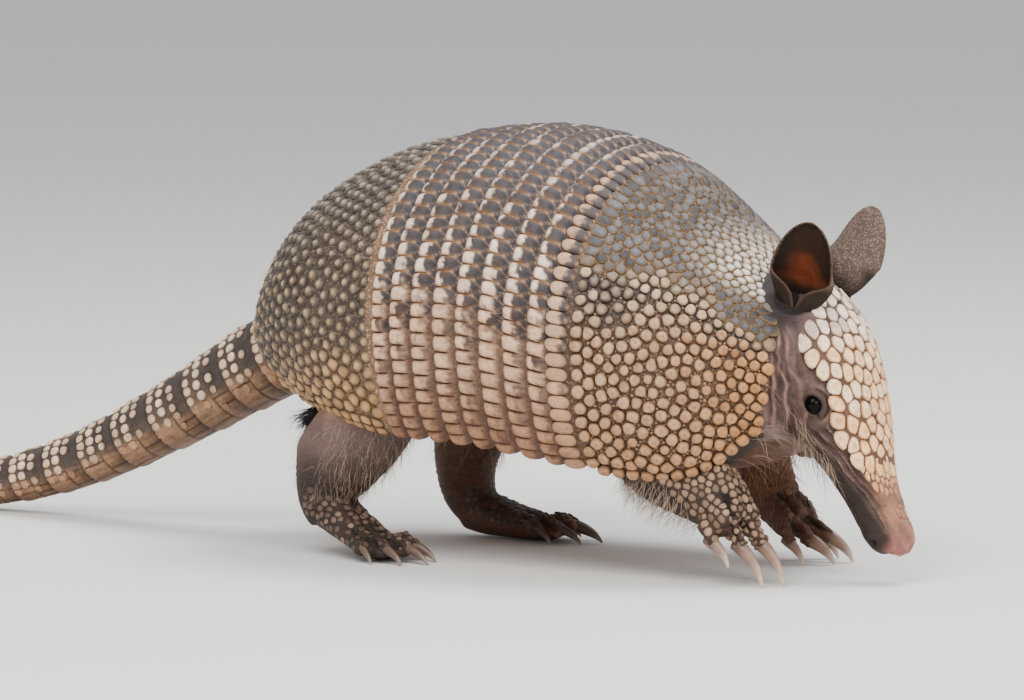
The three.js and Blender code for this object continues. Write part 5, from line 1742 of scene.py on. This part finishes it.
def buildClaw(foot, index):
    shape = feet[foot][0]
    toe = shape["toes"][index]
    reach, tipHeight = toe[5:]
    part, side = foot.split("_")
    thickness, dull, base = claw[part]
    heading, _, end = toePlaces(foot, toe)
    start = end - heading * claw["rooted"]
    share = np.linspace(0, 1, claw["steps"])
    middle = start + heading * ((reach + claw["rooted"]) * np.sin(share * claw["bend"]))[:, None]
    middle[:, 2] = start[2] + 0.8 + (tipHeight - start[2] - 0.8) * share ** claw["bend"]
    girth = thickness * shape["clawRadius"] * (reach / 15) ** 0.4
    girth = girth * (1 - 0.88 * share**1.5) * (1 - 0.25 * bell(share, 0, 0.12))
    forward = unit(np.gradient(middle, axis=0))
    sideways = unit(np.cross(forward, np.array((0, 0, 1.0))))
    upright = np.cross(sideways, forward)
    angle = turnsOf(claw["facets"])
    across, high = np.cos(angle), np.sin(angle)
    # keeled above, hollowed below
    high = np.where(high > 0, high * (1 + 0.12 * high**8), high * 0.72)
    rings = (
        middle[:, None] + sideways[:, None] * (girth[:, None] * 0.8 * across)[..., None]
        + upright[:, None] * (girth[:, None] * high)[..., None]
    )
    rings[..., 2] = np.maximum(rings[..., 2], 0.0)
    points, faces, _ = closedTube(rings)
    t = np.repeat(share, claw["facets"])
    tone = mix(mix(base, claw["middle"] * dull, ease(0.1, 0.5, t)), claw["tip"] * dull, ease(0.5, 0.95, t))
    streak = stripes(np.tile(angle, claw["steps"]) * 3, t * 1.5, index, 81, 0.6)
    tone = shaded(tone, 1 + 0.12 * streak)
    parts = [(points, faces, np.concatenate([tone, [tone[0], tone[-1]]]))]
    limb = part[:-4]
    name = f"claw{limb.capitalize()}{side.capitalize()}{index + 1}"
    setPiece(name, parts, 0.0, clawHorn, "claw", f"claw_{limb}_{side}_{index + 1}")


clawHorn = hornMaterial("clawHorn", {
    "roughness": 0.34, "specular": 0.5, "blotch": 4.0, "fleck": 1.4, "stain": 0.86, "light": 1.08,
    "speck": 0.88, "pit": 0.6, "pitDepth": 0.012, "grain": 0.05,
})
for side in sides:
    buildEye(side)
    buildEar(side)
for foot in feet:
    for index in range(len(feet[foot][0]["toes"])):
        buildClaw(foot, index)
print("eyes, ears and claws set")

# Coat: small horny scales on the limbs and stiff pale hairs, each with its patch on the bake map.
skinPoints, skinOut = pointsOf(body), normalsOf(body)
coat = {
    "patch": 0.003,
    **toned(
        ivory=(150, 122, 98), ivoryDark=(92, 68, 53), amber=(128, 88, 60), ochre=(158, 130, 108),
        scaleDark=(72, 53, 45), hair=(190, 166, 144), hairDark=(120, 92, 70), black=(30, 26, 26),
    ),
}
limbHorn = hornMaterial("limbHorn", {
    "roughness": 0.48, "specular": 0.4, "blotch": 3.0, "fleck": 0.8, "stain": 0.84, "light": 1.1,
    "speck": 0.78, "pit": 0.6, "pitDepth": 0.03, "grain": 0.12,
})


def measured():
    # what the zones of the coat are told by, at each point of the skin
    x, y, z = skinPoints.T
    at, turn = headPlaces(skinPoints)
    outX, outY, outZ = skinOut.T
    return {
        "x": x, "y": y, "z": z, "wide": np.abs(y), "at": at, "reach": np.degrees(np.abs(turn)),
        "outX": outX, "outZ": outZ, "cleft": toeGrooves(skinPoints),
        "thighFront": x + 62 - 0.35 * (z - 24),
        "handTop": z - 0.25 * np.maximum(x - 112, 0),
        "handFront": (x - 104) * 0.9 + z,
        "handFacing": outX * 0.65 - outY * 0.75 + outZ * 0.35,
        "farHandFacing": outX * 0.6 + outZ * 0.5 + outY * 0.3,
        "footTop": z - 6 * cloud(skinPoints, 9, 81),
        "footFacing": outZ * 0.7 - outY * 0.7,
    }


def zoneOf(measures, limits):
    # points whose measures all lie between their limits
    inside = np.ones(len(skinPoints), bool)
    for name, (low, high) in limits.items():
        inside &= (measures[name] > low) & (measures[name] < high)
    return np.flatnonzero(inside)


def rootPatch(spots):
    # place on an unwrap round the body's axis
    u = 0.03 + 0.94 * np.clip((spots[:, 0] + 120) / 330, 0, 1)
    v = 0.03 + 0.94 * (np.arctan2(spots[:, 1], spots[:, 2] - 60) / (2 * math.pi) + 0.5)
    return np.stack([u, v], -1)


def bakeMap(piece, uv):
    layer = piece.data.uv_layers.new(name="OFBake")
    corners = np.empty(len(piece.data.loops), np.int32)
    piece.data.loops.foreach_get("vertex_index", corners)
    layer.data.foreach_set("uv", uv[corners].astype(np.float32).ravel())


below, above = -math.inf, math.inf
handLook = {"cap": 0.72, "wide": 0.6, "dusk": 1.5, "paleTop": 52, "paleToes": 0.4}
footLook = {"cap": 0.55, "wide": 1.0, "dusk": 0.3, "paleTop": 21, "paleToes": 0.8}
limbCoats = {
    # limits, look, pitch of toes and limb, comb, tones pale and dark, depth and height, share kept, nodes
    # the near hand's pale scale colour is dimmed as painted shade
    "nearHandScales": (
        {"cleft": (below, 0.22), "y": (below, -22), "x": (104, above), "handTop": (below, 42),
         "z": (9, above), "handFacing": (0.05, above), "handFront": (48, above)},
        handLook, (3.0, 2.75), (0.55, 0, -0.84), (coat["ivory"], coat["ivoryDark"]), (-0.6, 0.5), 0.98,
        ("foreleg_right", "forefoot_right"),
    ),
    # the far hand's tones are darkened as painted shade
    "farHandScales": (
        {"cleft": (below, 0.22), "y": (22, above), "x": (100, above), "z": (17, 30),
         "farHandFacing": (0.4, above)},
        handLook, (3.0, 2.75), (0.55, 0, -0.84), (coat["amber"] * 0.75, coat["ivoryDark"] * 0.6),
        (-0.6, 0.25), 0.5, ("foreleg_left", "forefoot_left"),
    ),
    "nearFootScales": (
        {"cleft": (below, 0.22), "y": (below, -32), "x": (-66, 4), "footTop": (below, 28), "z": (5, above),
         "footFacing": (0.2, above)},
        footLook, (2.9, 2.9), (0.9, 0, -0.4), (coat["ochre"], coat["scaleDark"]), (-0.5, 0.3), 0.82,
        ("hindfoot_right", "hindleg_right"),
    ),
    # the far foot takes the near foot's tones darkened, as painted shade
    "farFootScales": (
        {"cleft": (below, 0.22), "y": (26, above), "x": (-58, 16), "z": (5, 24), "outZ": (0.1, above)},
        footLook, (2.9, 2.9), (0.9, 0, -0.4), (coat["ochre"] * 0.5, coat["scaleDark"] * 0.8),
        (-0.5, 0.25), 0.95, ("hindfoot_left", "hindleg_left"),
    ),
}


def limbScales(name, measures):
    limits, look, pitch, comb, tones, (low, high), keep, nodes = limbCoats[name]
    comb = np.array(comb)
    stretch = 1.2
    chosen = zoneOf(measures, limits)
    chosen = chosen[np.argsort(-skinPoints[chosen, 2] + rng.uniform(-1.2, 1.2, len(chosen)))]
    spots = skinPoints[chosen]
    spacing = mixed(*pitch, ease(17, 28, spots[:, 2]))
    # rows lie closer together where the scales are broad
    levels = np.linspace(0, 70, 141)
    climb = np.cumsum(0.5 / mixed(look["wide"], stretch, ease(16, 22, levels)))
    spread = np.column_stack([spots[:, :2], np.interp(spots[:, 2], levels, climb)])
    kept = packed(spread, spacing * rng.uniform(0.82, 1.14, len(spots)))
    kept = kept[rng.uniform(0, 1, len(kept)) < keep]
    spots, outwards, size = spots[kept], skinOut[chosen[kept]], spacing[kept]
    lone = rng.uniform(0, 1, (2, len(spots)))
    ahead = unit(comb - outwards * (outwards @ comb)[:, None])
    broad = mixed(look["wide"], stretch, ease(16, 22, spots[:, 2]))
    pale = (1 - lone[1] ** look["dusk"]) * ease(look["paleTop"] + 7, look["paleTop"] - 7, spots[:, 2])
    pale = pale * mixed(look["paleToes"], 1, ease(12, 24, spots[:, 2]))
    tone = mix(tones[1], tones[0], pale)
    cap = look["cap"] * size * (0.85 + 0.3 * lone[0])
    shape = {"sides": 8, "groove": 0.12, "cap": cap, "stretch": broad, "corners": 7, "neighbours": 7}
    top = high * (0.8 + 0.4 * lone[0])
    rings = [(1.0, low), (0.97, 0.0), (0.84, top * 0.7), (0.45, top * 0.96), (0.0, top)]
    # the rings darken towards the sunk edge as painted shade, and the crown is lightened a little as a
    # painted highlight
    shades = [tone * 0.35, tone * 0.55, tone * 0.88, tone, tone * 1.05]
    domes = scaleDomes(spots, outwards, ahead, shape, rings, shades)
    piece = setPiece(name, [domes], 0.0, limbHorn, "armour", *nodes)
    per = len(domes[0]) // len(spots)
    roots, centres, side, along = (
        np.repeat(x, per, axis=0) for x in (rootPatch(spots), spots, unit(np.cross(ahead, outwards)), ahead)
    )
    local = domes[0] - centres
    flat = np.stack([np.einsum("ij,ij->i", local, side), np.einsum("ij,ij->i", local, along)], -1)
    bakeMap(piece, roots + np.clip(flat / 5, -0.5, 0.5) * coat["patch"])
    print(name, len(spots), "scales")


strand = {"steps": 6, "facets": 3, "sunk": 0.35, "curl": 0.22}


def strandFaces():
    steps, facets = strand["steps"], strand["facets"]
    tip = steps * facets
    shape = [[0, 2, 1]]
    for k in range(steps - 1):
        for i in range(facets):
            a, b = k * facets + i, k * facets + (i + 1) % facets
            shape.append([a, b, b + facets, a + facets])
    return shape + [[tip - facets + i, tip - facets + (i + 1) % facets, tip] for i in range(facets)]


def strandsOf(roots, outwards, comb, length, radius, droop, stray, tone):
    # thin three-sided cones, with their shades and places on the bake map
    count, steps, facets = len(roots), strand["steps"], strand["facets"]
    length = length * rng.uniform(0.6, 1.25, count)
    heading = unit(comb + rng.normal(0, stray, (count, 3)))
    curve = rng.normal(0, strand["curl"], (count, 3))
    place = roots - outwards * strand["sunk"]
    across = unit(np.cross(heading, outwards + np.array((0.013, 0.017, 0.011))))
    shade = shaded(tone, rng.uniform(0.7, 1.15, count))
    root = rootPatch(roots)
    rings, tones, uvs = [], [], []
    for k in range(steps):
        t = k / steps
        over = np.cross(across, heading)
        thick = radius * (1 - t) ** 0.6
        for i in range(facets):
            angle = 2 * math.pi * i / facets
            rings.append(place + across * (thick * math.cos(angle)) + over * (thick * math.sin(angle)))
            tones.append(shade * (0.75 + 0.35 * t))
            uvs.append(root + coat["patch"] * np.array((i / 3 - 0.33, t - 0.5)))
        place = place + heading * (length / steps)[:, None]
        heading = unit(heading + curve / steps * 2 + np.array((0, 0, -droop)) / steps)
        across = unit(across - heading * np.einsum("ij,ij->i", across, heading)[:, None])
    ends = (place, shade * 1.1, root + coat["patch"] * np.array((0, 0.5)))
    columns = zip((rings, tones, uvs), ends)
    return [np.stack([*rows, end], 1).reshape(-1, end.shape[1]) for rows, end in columns]


def tuftsOf(name, groups, nodes):
    points, tones, uvs = (np.concatenate(rows) for rows in zip(*(strandsOf(*group) for group in groups)))
    per = strand["steps"] * strand["facets"] + 1
    faces = [[start + i for i in face] for start in range(0, len(points), per) for face in strandFaces()]
    piece = setPiece(name, [(points, faces, tones)], 0.0, hairFibre, "skin", *nodes)
    bakeMap(piece, uvs)
    print(name, len(points) // per, "hairs")


def grown(measures, limits, count, comb, lift, *style):
    # roots scattered over a zone, combed along the skin and lifted a little off it
    chosen = zoneOf(measures, limits)
    chosen = chosen[rng.integers(0, len(chosen), count)]
    jitter = rng.uniform(-0.6, 0.6, (count, 3))
    out = skinOut[chosen]
    roots = skinPoints[chosen] + jitter - out * np.einsum("ij,ij->i", jitter, out)[:, None]
    comb = np.array(comb)
    return roots, out, unit(unit(comb - out * (out @ comb)[:, None]) + out * lift), *style


# limits, count, comb, lift off the skin, length, radius, droop, stray, tone
throatAndBelly = (
    ({"at": (30, 72), "reach": (108, 140), "x": (150, above)},
     300, (0.5, 0, -0.86), 0.14, 9.0, 0.1, 0.25, 0.24, coat["hair"] * 1.15),
    ({"at": (24, 50), "reach": (100, 165), "x": (144, above), "wide": (10, above)},
     60, (0.5, 0, -0.86), 0.2, 11.0, 0.1, 0.4, 0.3, coat["hair"] * 1.15),
    ({"x": (112, 156), "z": (44, 62), "wide": (below, 34), "outZ": (below, -0.1)},
     150, (0.75, 0, -0.65), 0.5, 15.0, 0.11, 1.2, 0.3, coat["hair"] * 1.1),
    ({"x": (-60, 84), "z": (34, 56), "wide": (34, above), "outZ": (below, 0.2)},
     360, (-0.5, 0, -0.8), 0.5, 7.0, 0.12, 0.7, 0.3, coat["hair"]),
    ({"x": (84, 128), "z": (34, 46), "wide": (26, above), "outZ": (below, 0.1)},
     260, (0.2, 0, -0.98), 0.6, 11.0, 0.12, 0.5, 0.3, coat["hair"]),
)
limbs = (
    ({"x": (-70, -18), "z": (24, 60), "y": (below, -30), "thighFront": (0, above)},
     520, (-0.15, 0, -0.98), 0.16, 11.0, 0.08, 0.6, 0.3, coat["hair"] * 0.85),
    ({"x": (-78, -18), "z": (20, 52), "y": (below, -30)},
     380, (-0.25, 0, -0.95), 0.12, 6.0, 0.08, 0.3, 0.3, coat["hairDark"]),
    ({"x": (-64, 0), "z": (34, 60), "y": (16, above)},
     360, (-0.3, 0, -0.95), 0.2, 11.0, 0.13, 0.4, 0.2, coat["hairDark"] * 1.4),
    ({"x": (84, 122), "y": (below, -26), "z": (22, 43), "outZ": (below, -0.2)},
     420, (-0.5, 0, -0.85), 0.8, 11.5, 0.1, 0.4, 0.2, coat["hair"]),
    ({"x": (84, 118), "y": (22, above), "z": (16, 62), "outX": (-0.2, above)},
     240, (0.3, 0, -0.95), 0.25, 9.0, 0.1, 0.3, 0.25, mix(coat["hair"], coat["amber"], 0.6)),
)


def flapHairs(count):
    # the dark pointed tuft under the tail's root
    roots = np.array((-66.0, -45, 60)) + rng.normal(0, 1, (count, 3)) * np.array((1.0, 3.2, 1.5))
    out = np.tile((-0.6, -0.3, 0.6), (count, 1))
    return roots, out, np.array((-0.86, -0.12, -0.44)), 13.5, 0.24, 0.1, 0.045, coat["black"]


def earHairs(side, count):
    v, edge = rng.uniform(0.34, 1.02, count), np.where(rng.uniform(0, 1, count) < 0.5, -1.0, 1.0)
    roots = earSurface(side, v, edge * rng.uniform(0.94, 1.0, count))
    away = unit(roots - earSurface(side, v * 0.8, edge * 0.3))
    return roots, away, away, 1.3, 0.045, 0.1, 0.25, coat["hair"] * 0.6


def backHairs(count):
    row, share = rng.uniform(0.6, 8.8, count), rng.uniform(-0.85, 0.85, count)
    roots, out, ahead = shellFrame(row, share)
    return roots, out, unit(out * 0.8 - ahead * 0.9), 4.0, 0.09, 0.2, 0.2, coat["hair"]


def growCoat():
    measures = measured()
    for name in limbCoats:
        limbScales(name, measures)
    under = [grown(measures, *group) for group in throatAndBelly]
    tuftsOf("throatAndBellyHair", under, ["head", "neck", "trunk"])
    onLimbs = [grown(measures, *group) for group in limbs] + [flapHairs(260)]
    tuftsOf("limbHair", onLimbs, ["hindleg_right", "hindleg_left", "foreleg_right", "foreleg_left"])
    tuftsOf("earFringe", [earHairs(side, 420) for side in sides], ["ear_right", "ear_left"])
    tuftsOf("backHair", [backHairs(320)], ["trunk"])


hairFibre, hairTree, hairShader = newMaterial("hairFibre", 0.5, 0.4)
hairTone = addNode(hairTree, "ShaderNodeAttribute", attribute_name="tone").outputs["Color"]
hairPlace = addNode(hairTree, "ShaderNodeTexCoord").outputs["Object"]
hairGrain = ramp(hairTree, noiseOn(hairTree, hairPlace, 1.5), [(0.3, 0.75), (0.7, 1.15)])
hairTree.links.new(multiplied(hairTree, hairTone, hairGrain), hairShader.inputs["Base Color"])
growCoat()
